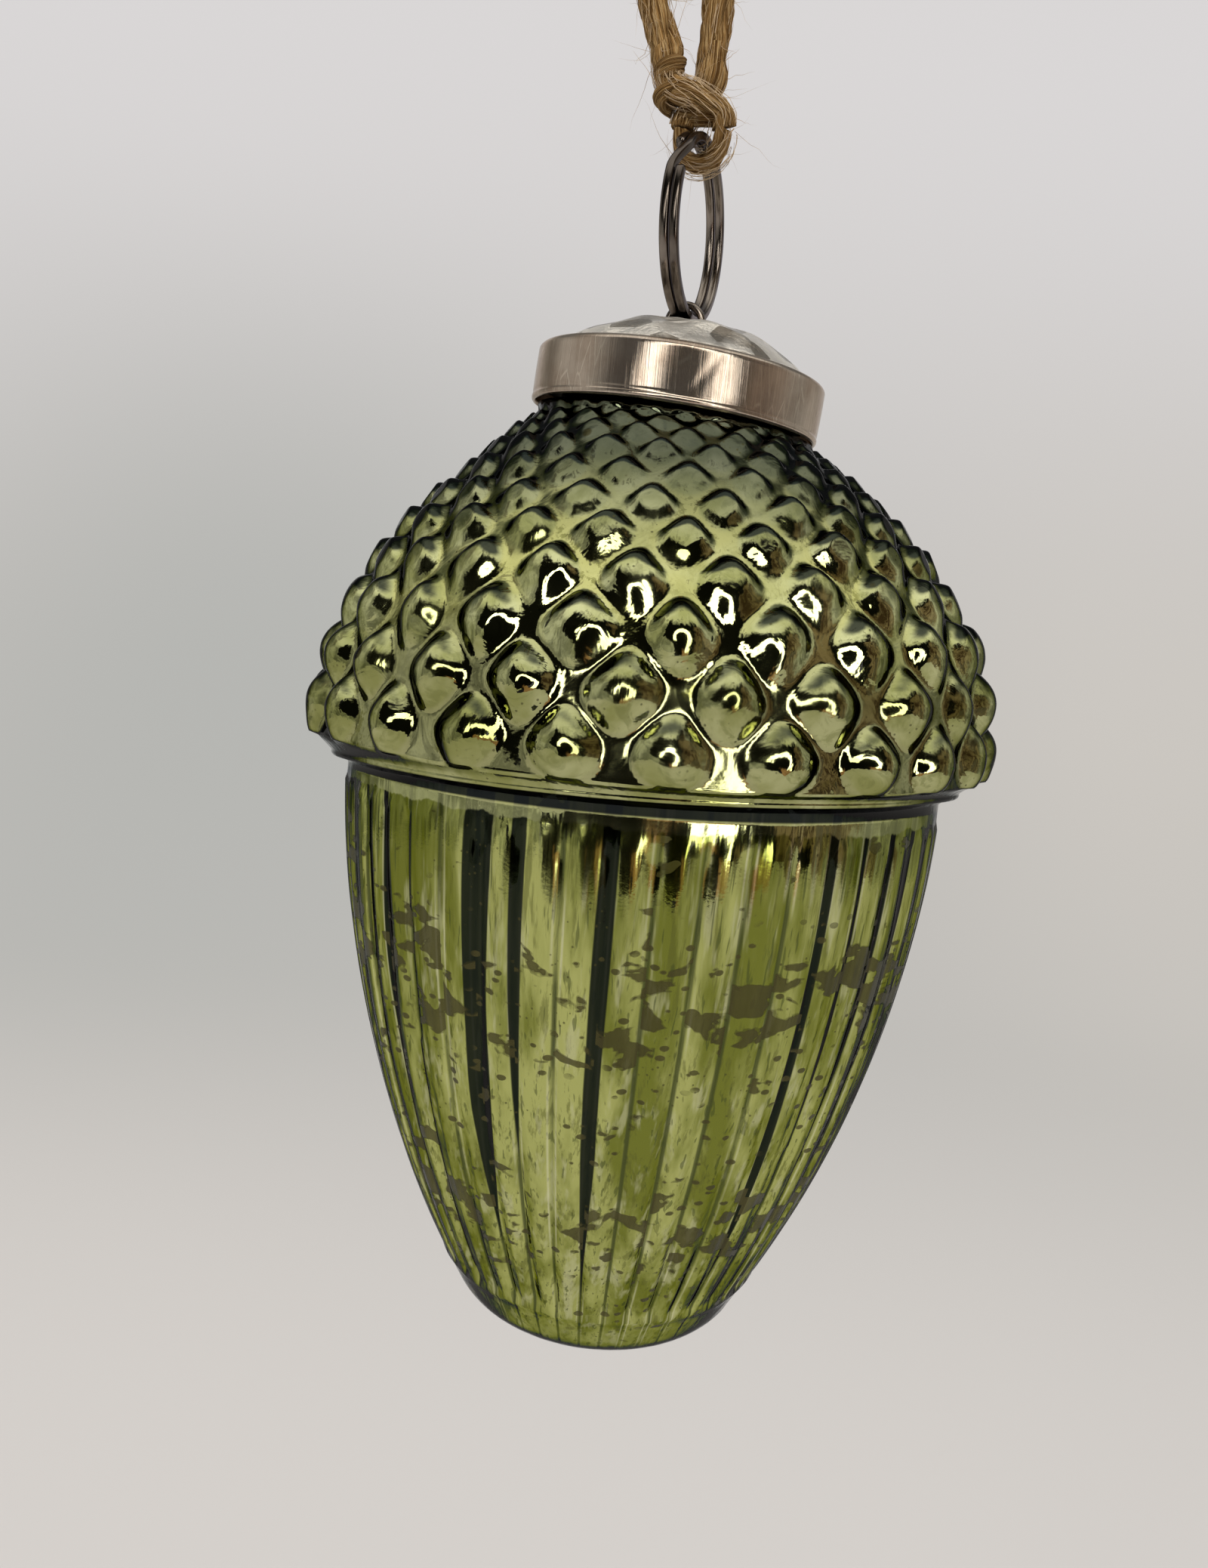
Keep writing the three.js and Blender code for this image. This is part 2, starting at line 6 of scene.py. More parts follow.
import bpy
import numpy as np
from mathutils import Matrix, Vector
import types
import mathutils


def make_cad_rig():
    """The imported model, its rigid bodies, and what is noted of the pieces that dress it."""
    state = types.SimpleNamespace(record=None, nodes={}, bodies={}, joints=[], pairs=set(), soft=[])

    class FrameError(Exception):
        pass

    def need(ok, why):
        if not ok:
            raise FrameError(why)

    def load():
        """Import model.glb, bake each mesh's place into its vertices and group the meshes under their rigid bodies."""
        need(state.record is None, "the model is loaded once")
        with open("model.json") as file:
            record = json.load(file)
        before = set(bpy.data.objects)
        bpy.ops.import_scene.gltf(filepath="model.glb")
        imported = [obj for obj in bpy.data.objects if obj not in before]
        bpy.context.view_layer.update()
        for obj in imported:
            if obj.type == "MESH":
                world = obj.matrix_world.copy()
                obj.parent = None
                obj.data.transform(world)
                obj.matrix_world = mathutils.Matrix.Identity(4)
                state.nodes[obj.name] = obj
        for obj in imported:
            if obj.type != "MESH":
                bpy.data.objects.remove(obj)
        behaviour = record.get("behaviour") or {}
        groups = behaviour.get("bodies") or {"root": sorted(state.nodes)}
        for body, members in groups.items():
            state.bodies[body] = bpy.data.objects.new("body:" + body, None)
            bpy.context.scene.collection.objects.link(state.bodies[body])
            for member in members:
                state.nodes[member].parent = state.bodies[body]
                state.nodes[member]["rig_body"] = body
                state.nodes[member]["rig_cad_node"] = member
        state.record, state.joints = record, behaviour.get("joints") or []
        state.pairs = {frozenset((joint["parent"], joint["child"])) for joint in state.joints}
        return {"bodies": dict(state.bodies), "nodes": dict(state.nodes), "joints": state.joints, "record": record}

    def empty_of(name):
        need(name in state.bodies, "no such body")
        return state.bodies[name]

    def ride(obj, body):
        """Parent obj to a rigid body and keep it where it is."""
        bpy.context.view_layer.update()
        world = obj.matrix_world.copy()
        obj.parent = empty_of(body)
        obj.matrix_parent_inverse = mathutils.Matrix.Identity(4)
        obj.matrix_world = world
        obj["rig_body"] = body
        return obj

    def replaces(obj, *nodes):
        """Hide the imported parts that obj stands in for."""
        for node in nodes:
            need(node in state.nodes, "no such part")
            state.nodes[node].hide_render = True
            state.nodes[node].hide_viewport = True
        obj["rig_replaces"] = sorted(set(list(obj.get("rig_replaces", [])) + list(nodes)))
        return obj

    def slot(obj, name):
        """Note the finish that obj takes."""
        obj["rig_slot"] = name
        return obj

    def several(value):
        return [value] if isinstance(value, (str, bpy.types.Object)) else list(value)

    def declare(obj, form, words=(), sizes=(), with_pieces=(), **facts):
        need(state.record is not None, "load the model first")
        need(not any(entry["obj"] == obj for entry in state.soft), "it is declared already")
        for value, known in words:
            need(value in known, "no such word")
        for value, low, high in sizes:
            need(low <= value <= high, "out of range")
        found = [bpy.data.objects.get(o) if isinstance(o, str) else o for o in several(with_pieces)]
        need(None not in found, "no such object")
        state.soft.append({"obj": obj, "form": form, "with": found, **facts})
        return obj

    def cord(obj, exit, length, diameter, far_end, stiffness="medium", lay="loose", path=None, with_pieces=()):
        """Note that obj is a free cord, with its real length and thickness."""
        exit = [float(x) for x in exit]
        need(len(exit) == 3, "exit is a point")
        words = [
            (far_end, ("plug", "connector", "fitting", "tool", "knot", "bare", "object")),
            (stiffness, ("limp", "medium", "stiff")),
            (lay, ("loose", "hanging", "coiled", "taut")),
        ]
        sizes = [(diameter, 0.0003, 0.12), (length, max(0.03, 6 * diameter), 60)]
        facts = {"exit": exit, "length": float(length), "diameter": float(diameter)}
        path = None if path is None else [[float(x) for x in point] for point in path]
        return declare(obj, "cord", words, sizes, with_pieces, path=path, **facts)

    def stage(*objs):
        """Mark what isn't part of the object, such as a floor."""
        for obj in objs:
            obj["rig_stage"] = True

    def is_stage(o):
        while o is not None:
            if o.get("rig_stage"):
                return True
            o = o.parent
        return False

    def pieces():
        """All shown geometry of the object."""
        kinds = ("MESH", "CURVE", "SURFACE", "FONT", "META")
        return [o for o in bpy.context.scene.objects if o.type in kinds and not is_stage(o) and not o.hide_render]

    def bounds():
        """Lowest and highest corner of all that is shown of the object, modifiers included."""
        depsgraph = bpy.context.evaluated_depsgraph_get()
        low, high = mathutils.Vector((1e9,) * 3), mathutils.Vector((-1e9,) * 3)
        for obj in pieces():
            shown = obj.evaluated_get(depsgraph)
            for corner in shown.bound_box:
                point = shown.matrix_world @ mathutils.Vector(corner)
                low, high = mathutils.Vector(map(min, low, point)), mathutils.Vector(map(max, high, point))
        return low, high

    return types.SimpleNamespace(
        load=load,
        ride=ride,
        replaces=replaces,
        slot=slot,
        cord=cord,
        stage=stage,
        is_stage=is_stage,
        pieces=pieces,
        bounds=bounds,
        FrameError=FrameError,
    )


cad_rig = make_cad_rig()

MM = 0.001
DEGREES = 180 / math.pi
SEED = 7

# Sizes of the solids in millimetres. Levels, which are below 0, are measured from the twine's
# crown, and the eyelet's from the ring's centre.
GROOVE = -138.469
SHOULDER_HEIGHT = 36.2
NUT_HEIGHT = 65.5
NUT_RADIUS = 33.0
FOOT_RADIUS = 16.8
FOOT_HEIGHT = 5.1
CAP_RADIUS = 38.0
RIM_HEIGHT = 2.3
SHOULDER_TOP_RADIUS = 15.6
NECK_RADIUS = 12.6
NECK_WALL = 1.5
GLASS_LIP = -96.769
SCALES_AROUND = 24
SCALE_ROWS = 12
FLUTES = 48

CAP_LEAN = math.radians(4.3)
BAND_MIDDLE = -97.769
BAND_RADIUS = 15.7
BAND_HEIGHT = 6.0
BAND_SHEET = 0.5
BAND_SHOULDER = 1.9
DOME_RADIUS = 13.5
DOME_STEP = 0.4
DOME_RISE = 4.04
DOME_SHEET = 0.4
DOME_HOLE = 2.6
DOME_APEX = -90.35

RING_YAW = math.radians(16.5)
RING_CENTRE = -80.5
RING_MEAN = 9.0
RING_TOP = -71.5
RING_WIDTH = 0.95
RING_DEPTH = 1.0
RING_CORNER = 0.3
COIL_SPACING = 1.05
COIL_JOG = math.radians(26)
COIL_START = math.radians(-40)
BIGHT_RADIUS = 2.168
BIGHT_TOP = -70.5
EYELET_WIRE = 0.8
EYELET_RADIUS = 1.9
EYELET_CENTRE = -9.5
EYELET_BEND = 1.2
EYELET_REACH = 8

TWINE_DIAMETER = 3.3
KNOT_FOOT = -70.2
KNOT_HEIGHT = 6.2
LOOP_ROUTE = [
    (0.35, 0.3, -63.7), (0.35, 0.2, -57.5), (1.1, 0, -48.5), (2.3, 0, -37.5),
    (3.6, 0, -25.5), (4.7, 0, -14.5), (4.7, 0, -7), (3.2, 0, -1.5),
    (0, 0, 1.65), (-3.9, 0, -0.9), (-7.6, 0, -7), (-10.7, 0, -16),
    (-12.2, 0, -26.5), (-11.5, 0, -37.5), (-9.5, 0, -48), (-6.5, 0, -57.6),
    (-5.1, 0.1, -61.5), (-4.6, 0.1, -62.8), (-4.5, 0.1, -63.7),
]

# How finely the pieces are divided: points once round, points along, and steps in millimetres.
GLASS_AROUND = 480
BAND_AROUND = 240
DOME_AROUND = 192
RING_POINTS = 520
HAIR_POINTS = 7
LAID_HAIR_POINTS = 9
LOOP_STEP = 0.5
KNOT_STEP = 0.25
EYELET_STEP = 0.12

# The photograph's camera: its focal length, and its place and axes in metres.
LENS = 28.61
SENSOR = 36
CAMERA_PLACE = (0, -0.1407, (GROOVE + 18.2) * MM)
CAMERA_AXES = ((0.9952, 0.0430, 0.0885), (-0.0937, 0.1419, 0.9854), (0.0298, -0.9889, 0.1453))

# The way from the object to the ring lamp that the silver mirrors.
RING_LAMP = (0.087, -0.9937, 0.07)

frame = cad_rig.load()
cad_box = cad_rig.bounds()


# Node trees


class Wire:
    """One value in a node tree. Sums and products of wires and numbers add their Math nodes."""

    def __init__(self, graph, socket):
        self.graph = graph
        self.socket = socket

    def maths(self, operation, *values):
        return self.graph.add("ShaderNodeMath", {"operation": operation}, values)

    def __add__(self, other):
        return self.maths("ADD", self, other)

    def __radd__(self, other):
        return self.maths("ADD", other, self)

    def __sub__(self, other):
        return self.maths("SUBTRACT", self, other)

    def __rsub__(self, other):
        return self.maths("SUBTRACT", other, self)

    def __mul__(self, other):
        return self.maths("MULTIPLY", self, other)

    def __rmul__(self, other):
        return self.maths("MULTIPLY", other, self)

    def __abs__(self):
        return self.maths("ABSOLUTE", self)

    def __round__(self):
        return self.maths("ROUND", self)


class Graph:
    """A node tree that grows by one call for each node."""

    def __init__(self, tree):
        self.tree = tree

    def join(self, socket, value):
        if isinstance(value, Wire):
            self.tree.links.new(value.socket, socket)
        elif socket.type == "RGBA" and len(value) == 3:
            socket.default_value = (*value, 1)
        else:
            socket.default_value = value

    def add(self, kind, settings=None, inputs=(), output=0):
        node = self.tree.nodes.new(kind)
        for name, value in (settings or {}).items():
            setattr(node, name, value)
        pairs = inputs.items() if isinstance(inputs, dict) else enumerate(inputs)
        for key, value in pairs:
            self.join(node.inputs[key], value)
        return Wire(self, node.outputs[output])

    def tint(self, factor, under, over):
        """The colour under, turning to the colour over as factor goes from 0 to 1."""
        return self.add("ShaderNodeMix", {"data_type": "RGBA"}, {0: factor, 6: under, 7: over}, 2)

    def step(self, value, low, high):
        """0 below low and 1 above high, smooth between."""
        settings = {"interpolation_type": "SMOOTHSTEP"}
        return self.add("ShaderNodeMapRange", settings, {0: value, 1: low, 2: high})

    def between(self, value, low, high, soft):
        """1 from low to high, fading over soft on either side."""
        over = self.step(value, high - soft, high + soft)
        return self.step(value, low - soft, low + soft) * (1 - over)

    def noise(self, where, scale, detail=3.0, rough=0.5, warp=0.0):
        names = ("Vector", "Scale", "Detail", "Roughness", "Distortion")
        inputs = dict(zip(names, (where, scale, detail, rough, warp)))
        return self.add("ShaderNodeTexNoise", {}, inputs)

    def cells(self, where, scale, feature="F1", output="Distance"):
        inputs = {"Vector": where, "Scale": scale}
        return self.add("ShaderNodeTexVoronoi", {"feature": feature}, inputs, output)

    def chance(self, number):
        return self.add("ShaderNodeTexWhiteNoise", {"noise_dimensions": "1D"}, {"W": number})

    def stretched(self, where, share):
        """The same place with its third measure scaled, to draw a pattern out or flatten it."""
        return self.add("ShaderNodeVectorMath", {"operation": "MULTIPLY"}, [where, (1, 1, share)])

    def bearing(self, across, ahead):
        """The angle, in radians, of a point that is so far across and so far ahead."""
        return self.add("ShaderNodeMath", {"operation": "ARCTAN2"}, [across, ahead])

    def place(self):
        """Where a point is on the object at rest, in metres."""
        return self.add("ShaderNodeTexCoord", output="Object")

    def axes(self, vector):
        return [self.add("ShaderNodeSeparateXYZ", {}, [vector], n) for n in range(3)]

    def carried(self, name, output="Fac"):
        """A value that the mesh carries on its points."""
        return self.add("ShaderNodeAttribute", {"attribute_name": name}, (), output)

    def relief(self, height, depth, strength=1.0):
        inputs = {"Height": height, "Distance": depth, "Strength": strength}
        return self.add("ShaderNodeBump", {}, inputs)


class Finish(Graph):
    """A material whose shader takes its constants here, and what varies by its own name later."""

    def __init__(self, name, **constants):
        self.material = bpy.data.materials.new(name)
        self.material.use_nodes = True
        super().__init__(self.material.node_tree)
        self.shader = self.tree.nodes["Principled BSDF"]
        for socket, value in constants.items():
            self.wear(socket.replace("_", " ").title().replace("Ior", "IOR"), value)

    def wear(self, socket, value):
        self.join(self.shader.inputs[socket], value)


# Shapes


def put(name, data):
    """A new object of the scene, with the given mesh, lens or lamp."""
    piece = bpy.data.objects.new(name, data)
    bpy.context.scene.collection.objects.link(piece)
    return piece


def dress(piece, finish, body, slot, node=None):
    """Gives a piece its material, the body that it rides on, and the solid that it stands for."""
    piece.data.materials.clear()
    piece.data.materials.append(finish)
    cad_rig.ride(piece, body)
    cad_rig.slot(piece, slot)
    if node:
        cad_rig.replaces(piece, node)


def circle(count):
    """Angles in radians, evenly spaced once round."""
    return np.arange(count) / count * 2 * math.pi


def eased(share):
    """Turns an even rise from 0 to 1 into one that starts and ends gently."""
    return share * share * (3 - 2 * share)


def bump(value, middle, width):
    """1 at the middle, falling smoothly to nearly 0 at two widths from it."""
    return np.exp(-(((value - middle) / width) ** 2))


def stretches(line):
    """The distance from each point of a line to the next."""
    return np.linalg.norm(np.diff(line, axis=0), axis=1)


def distances(line):
    """How far along a line each of its points is."""
    return np.concatenate([[0], np.cumsum(stretches(line))])


def read_at(places, far, values):
    """The values of a line's points, read at other places along it."""
    return np.stack([np.interp(places, far, column) for column in values.T], 1)


def outline(start, control_a, control_b, end, count, last=True):
    """Points and outward normals along a cubic curve of (radius, height)."""
    t = np.linspace(0, 1, count + 1)[:, None]
    if not last:
        t = t[:-1]
    a, b, c, d = (np.array(p, float) for p in (start, control_a, control_b, end))
    point = a * (1 - t) ** 3 + 3 * b * t * (1 - t) ** 2 + 3 * c * t**2 * (1 - t) + d * t**3
    slope = (b - a) * (1 - t) ** 2 + 2 * (c - b) * t * (1 - t) + (d - c) * t**2
    slope /= np.linalg.norm(slope, axis=1, keepdims=True)
    return point, np.stack([slope[:, 1], -slope[:, 0]], 1)


def evenly(points, normals, spacing):
    """The same outline, with its points a fixed length apart, and how far along each one is."""
    far = distances(points)
    at = np.linspace(0, far[-1], int(far[-1] / spacing) + 1)
    return read_at(at, far, points), read_at(at, far, normals), at


def mesh_piece(name, points, faces):
    """A smooth piece of the scene, from points in millimetres and the faces between them."""
    mesh = bpy.data.meshes.new(name)
    mesh.from_pydata((points * MM).tolist(), [], faces)
    mesh.polygons.foreach_set("use_smooth", [True] * len(faces))
    return put(name, mesh)


def surface(name, rows, closed=True, ends=(False, False), carried=None):
    """A mesh through rows of points in millimetres. Each row goes once round where closed."""
    rows = np.asarray(rows, float)
    count, around = rows.shape[:2]
    numbers = np.arange(count * around).reshape(count, around)
    ahead = np.roll(numbers, -1, axis=1) if closed else numbers[:, 1:]
    here = numbers if closed else numbers[:, :-1]
    quads = np.stack([here[:-1], ahead[:-1], ahead[1:], here[1:]], -1).reshape(-1, 4)
    faces = quads.tolist()
    if ends[0]:
        faces.append(numbers[0][::-1].tolist())
    if ends[1]:
        faces.append(numbers[-1].tolist())
    piece = mesh_piece(name, rows.reshape(-1, 3), faces)
    for label, values in (carried or {}).items():
        values = np.asarray(values, np.float32)
        kind, field = ("FLOAT", "value") if values.ndim == 2 else ("FLOAT_VECTOR", "vector")
        held = piece.data.attributes.new(label, kind, "POINT")
        held.data.foreach_set(field, values.ravel())
    piece.data.update()
    return piece


def join_surfaces(name, pieces):
    """One object of several, which keeps what their points carry."""
    with bpy.context.temp_override(active_object=pieces[0], selected_editable_objects=pieces):
        bpy.ops.object.join()
    pieces[0].name = pieces[0].data.name = name
    return pieces[0]


def turned(profile, around):
    """Rows of points for a profile of (radius, height) turned about the upright axis."""
    angle = circle(around)
    profile = np.asarray(profile, float)
    radius, height = profile[:, 0:1], profile[:, 1:2]
    return np.stack([radius * np.sin(angle), -radius * np.cos(angle), height + 0 * angle], -1)


def wobble(angle, height, seed, size, waves=9, reach=7, length=0.22):
    """Slow dents, the same each time, over an angle in radians and a height in millimetres."""
    dice = np.random.RandomState(seed)
    total = 0
    for _ in range(waves):
        turns = dice.randint(-reach, reach + 1)
        total = total + dice.uniform(0.4, 1) * np.sin(
            turns * angle + dice.uniform(-length, length) * height + dice.uniform(0, 6.28)
        )
    return size * total / math.sqrt(waves)


def smooth_path(points, step):
    """The centripetal curve that the solids follow too, in steps of about the given length."""
    points = np.asarray(points, float)
    padded = np.concatenate([[2 * points[0] - points[1]], points, [2 * points[-1] - points[-2]]])
    made = []
    for p0, p1, p2, p3 in zip(padded, padded[1:], padded[2:], padded[3:]):
        gaps = ((p0, p1), (p1, p2), (p2, p3))
        d0, d1, d2 = (max(np.linalg.norm(b - a) ** 0.5, 1e-4) for a, b in gaps)
        m1 = ((p1 - p0) / d0 - (p2 - p0) / (d0 + d1) + (p2 - p1) / d1) * d1
        m2 = ((p2 - p1) / d1 - (p3 - p1) / (d1 + d2) + (p3 - p2) / d2) * d1
        t = np.linspace(0, 1, 40, endpoint=False)[:, None]
        made.append(
            (2 * t**3 - 3 * t**2 + 1) * p1
            + (t**3 - 2 * t**2 + t) * m1
            + (3 * t**2 - 2 * t**3) * p2
            + (t**3 - t**2) * m2
        )
    line = np.concatenate([*made, points[-1:]])
    far = distances(line)
    at = np.linspace(0, far[-1], max(2, int(round(far[-1] / step))) + 1)
    return read_at(at, far, line)


def carried_frames(path, side=None):
    """Two directions square to the path at each point, near the given side or turning little."""
    ahead = np.gradient(path, axis=0)
    ahead /= np.linalg.norm(ahead, axis=1, keepdims=True)
    keep = side is not None
    side = np.asarray(side, float) if keep else np.cross(ahead[0], (0, 1, 0))
    sides = []
    for way in ahead:
        across = side - way * np.dot(side, way)
        across /= np.linalg.norm(across)
        sides.append(across)
        side = side if keep else across
    sides = np.array(sides)
    return sides, np.cross(ahead, sides)


# Camera


def make_camera():
    lens = bpy.data.cameras.new("photo_view")
    lens.lens = LENS
    lens.sensor_width = SENSOR
    lens.clip_start = 0.005
    camera = put("photo_view", lens)
    turned_so = Matrix(CAMERA_AXES).transposed().to_4x4()
    camera.matrix_world = Matrix.Translation(CAMERA_PLACE) @ turned_so
    bpy.context.scene.camera = camera


# Jute: plies laid round each other, and loose hairs


def jute_finish():
    jute = Finish("natural_jute", roughness=0.9, specular_ior_level=0.08)
    way = jute.carried("fibre_way", "Vector")
    strands = jute.noise(jute.stretched(way, 0.07), 3.0, 4, 0.65)
    streaks = jute.noise(jute.stretched(way, 0.035), 8, 3, 0.6)
    patches = jute.noise(jute.place(), 300, 3, 0.6)
    groove_shade = jute.carried("crease")
    colour = jute.tint(jute.step(strands, 0.38, 0.62), (0.09, 0.04, 0.01), (0.33, 0.185, 0.064))
    colour = jute.tint(jute.step(streaks, 0.5, 0.64) * 0.75, colour, (0.66, 0.46, 0.22))
    colour = jute.tint(jute.step(1 - streaks, 0.52, 0.64) * 0.7, colour, (0.06, 0.026, 0.007))
    colour = jute.tint(jute.step(patches, 0.5, 0.72) * 0.35, colour, (0.14, 0.07, 0.02))
    # Painted shade: the creases between the plies are darkened.
    colour = jute.tint(groove_shade * 0.85, colour, (0.035, 0.015, 0.004))
    jute.wear("Base Color", colour)
    jute.wear("Roughness", 0.8 + 0.15 * streaks)
    jute.wear("Normal", jute.relief(strands + 0.7 * streaks, 0.0005, 1.0))
    return jute.material


def hair_finish():
    hair = Finish("jute_hair", roughness=0.7, specular_ior_level=0.3, sheen_weight=0.2)
    tone = hair.noise(hair.place(), 900, 2)
    hair.wear("Base Color", hair.tint(tone, (0.14, 0.07, 0.022), (0.66, 0.48, 0.27)))
    return hair.material


def twisted_strand(name, path, wide, thick, side=None, lay=24.0, turn=0.0):
    """Plies twisted round a path, wide across the side direction and thick the other way."""
    sides, ups = carried_frames(path, side)
    far = distances(path)
    beta = circle(20)
    wide = np.broadcast_to(np.asarray(wide, float), far.shape)
    thick = np.broadcast_to(np.asarray(thick, float), far.shape)
    plies, offset, ply = 3, 0.2, 0.31
    dice = np.random.RandomState(SEED)
    made = []
    for n in range(plies):
        alpha = turn + n / plies * 2 * math.pi + far / lay * 2 * math.pi
        swell = 1 + 0.07 * np.sin(far * dice.uniform(0.5, 0.9) + dice.uniform(0, 6))
        swell = swell + 0.04 * np.sin(far * 2.3 + n)
        spin = alpha[:, None] * 0.6 + beta
        rough = 1 + 0.06 * np.sin(5 * spin + n) + 0.04 * np.sin(9 * spin + 0.9 * far[:, None])
        reach = ply * swell[:, None] * rough
        across = offset * np.cos(alpha)[:, None] + reach * np.cos(beta)
        upward = offset * np.sin(alpha)[:, None] + reach * np.sin(beta)
        rows = (
            path[:, None]
            + (across * wide[:, None])[..., None] * sides[:, None]
            + (upward * thick[:, None])[..., None] * ups[:, None]
        )
        way = [np.cos(spin) * 1.3 + 5 * n, np.sin(spin) * 1.3, far[:, None] + 0 * spin]
        # How deep a point lies between the plies, where the jute's finish paints shade in the crease.
        inward = 1 - np.hypot(across, upward) / (offset + ply)
        carried = {"fibre_way": np.stack(way, -1), "crease": np.clip((inward - 0.3) / 0.45, 0, 1)}
        made.append(surface(f"{name}_{n}", rows, True, (True, True), carried))
    return join_surfaces(name, made)


def hair_mesh(name, lines, thick):
    """One mesh of three-sided hairs along lines of points, each thinner towards its end."""
    made, faces = [], []
    start = 0
    for line, size in zip(lines, thick):
        count = len(line)
        across = np.cross(line[-1] - line[0], (0.3, 0.5, 0.8))
        across /= np.linalg.norm(across)
        other = np.cross(line[-1] - line[0], across)
        other /= np.linalg.norm(other)
        size = size * (1.05 - np.linspace(0, 1, count)[:, None])
        corners = [math.cos(a) * across + math.sin(a) * other for a in (0, 2.094, 4.189)]
        made.append(np.stack([line + size * corner for corner in corners], 1).reshape(-1, 3))
        for j in range(count - 1):
            for k in range(3):
                a, b = start + 3 * j + k, start + 3 * j + (k + 1) % 3
                faces.append((a, b, b + 3, a + 3))
        start += 3 * count
    return mesh_piece(name, np.concatenate(made), faces)


def loose_hairs(name, paths, radius, per_mm, longest, seed):
    """Fine hairs that leave the strands at a slant and curl, and others that lie along them."""
    dice = np.random.RandomState(seed)
    lines, thick = [], []
    for path in paths:
        sides, ups = carried_frames(path)
        ahead = np.cross(sides, ups)
        length = np.sum(stretches(path))
        step = length / (len(path) - 1)
        for _ in range(int(length * per_mm)):
            at = dice.randint(0, len(path))
            turn = dice.uniform(0, 2 * math.pi)
            out = math.cos(turn) * sides[at] + math.sin(turn) * ups[at]
            along = ahead[at] * dice.choice((-1, 1))
            slant = dice.uniform(0.15, 1.1)
            size = longest * dice.uniform(0.12, 1) ** 2.2 + 0.5
            bend = dice.normal(0, 0.5, 3)
            t = np.linspace(0, 1, HAIR_POINTS)[:, None]
            aim = out * math.sin(slant) + along * math.cos(slant)
            line = path[at] + out * radius * 0.8 + aim * t * size
            shake = dice.normal(0, 0.03, (HAIR_POINTS, 3))
            lines.append(line + bend * t**2 * size * 0.5 + shake * t * size)
            thick.append(dice.uniform(0.02, 0.042))
        for _ in range(int(length * per_mm * 1.6)):
            count = int(dice.uniform(2.5, 7) / step)
            if count >= len(path):
                continue
            along = np.linspace(0, 1, LAID_HAIR_POINTS)
            at = dice.randint(0, len(path) - count) + (count * along).astype(int)
            along = along[:, None]
            turn = dice.uniform(0, 2 * math.pi) + dice.uniform(0.2, 1.3) * along
            height = radius * (0.93 + 0.12 * np.sin(dice.uniform(1, 3.4) * along))
            lines.append(path[at] + height * (np.cos(turn) * sides[at] + np.sin(turn) * ups[at]))
            thick.append(dice.uniform(0.04, 0.085))
    return hair_mesh(name, lines, thick)


def bight_path():
    """The half circle under the ring's upper wire, with its legs up to the knot's foot."""
    across = np.array([math.cos(RING_YAW), -math.sin(RING_YAW), 0])
    turn = np.linspace(0, math.pi, 25)
    bend = [BIGHT_RADIUS * (math.cos(a) * across - math.sin(a) * np.array([0, 0, 1])) for a in turn]
    bend = [p + np.array([0, 0, RING_TOP]) for p in bend]
    rise = np.array([0, 0, BIGHT_TOP - RING_TOP])
    line = [bend[0] + rise, bend[0] + rise / 2, *bend, bend[-1] + rise / 2, bend[-1] + rise]
    return smooth_path(line, KNOT_STEP)


def knot_paths():
    """The knot's two strands, which run on a little inside the loop, a wrap and a bar across."""
    x, y = BIGHT_RADIUS * math.cos(RING_YAW), BIGHT_RADIUS * math.sin(RING_YAW)
    right, left = LOOP_ROUTE[0], LOOP_ROUTE[-1]
    back = [(-x, y, 0), (-1.9, 0.7, 1), (-1.1, 0.9, 2.3), (-0.2, 0.8, 3.7)]
    back += [(right[0], right[1], KNOT_HEIGHT - 1), (right[0], right[1], KNOT_HEIGHT)]
    back.append((0.35, 0.27, KNOT_HEIGHT + 2.2))
    front = [(x, -y, 0), (1.7, -0.9, 1.3), (0.2, -1.3, 2.1), (-1.4, -1.3, 2.8), (-2.9, -0.9, 3.2)]
    front += [(-3.9, -0.3, 4.1), (left[0], left[1], KNOT_HEIGHT), (-5.1, 0.1, KNOT_HEIGHT + 2.2)]
    wrap = []
    for share in np.linspace(0, 1, 17):
        turn = 2 * math.pi * (0.1 - 1.9 * share)
        wide, deep = 0.95 * math.cos(turn), 1.1 * math.sin(turn)
        wrap.append((-4.1 + 0.5 * share + wide, -0.2 + deep, 6.3 - 4.3 * share))
    bar = [(-2.5, 0.6, 1.3), (-1.2, -0.1, 1.05), (0.6, -0.6, 1.0), (2.3, -0.6, 1.1)]
    lift = np.array([0, 0, KNOT_FOOT])
    return [smooth_path(np.array(line) + lift, KNOT_STEP) for line in (back, front, wrap, bar)]


def knot_width(path, cuffed):
    """The strand's width at each point. A cuffed one swells over the end of the loop it enters."""
    if not cuffed:
        return 1.9
    left = np.linspace(1, 0, len(path)) * np.sum(stretches(path))
    return np.interp(left, (0, 2, 3, 5), (2.8, 3.45, 3.4, 2.75))


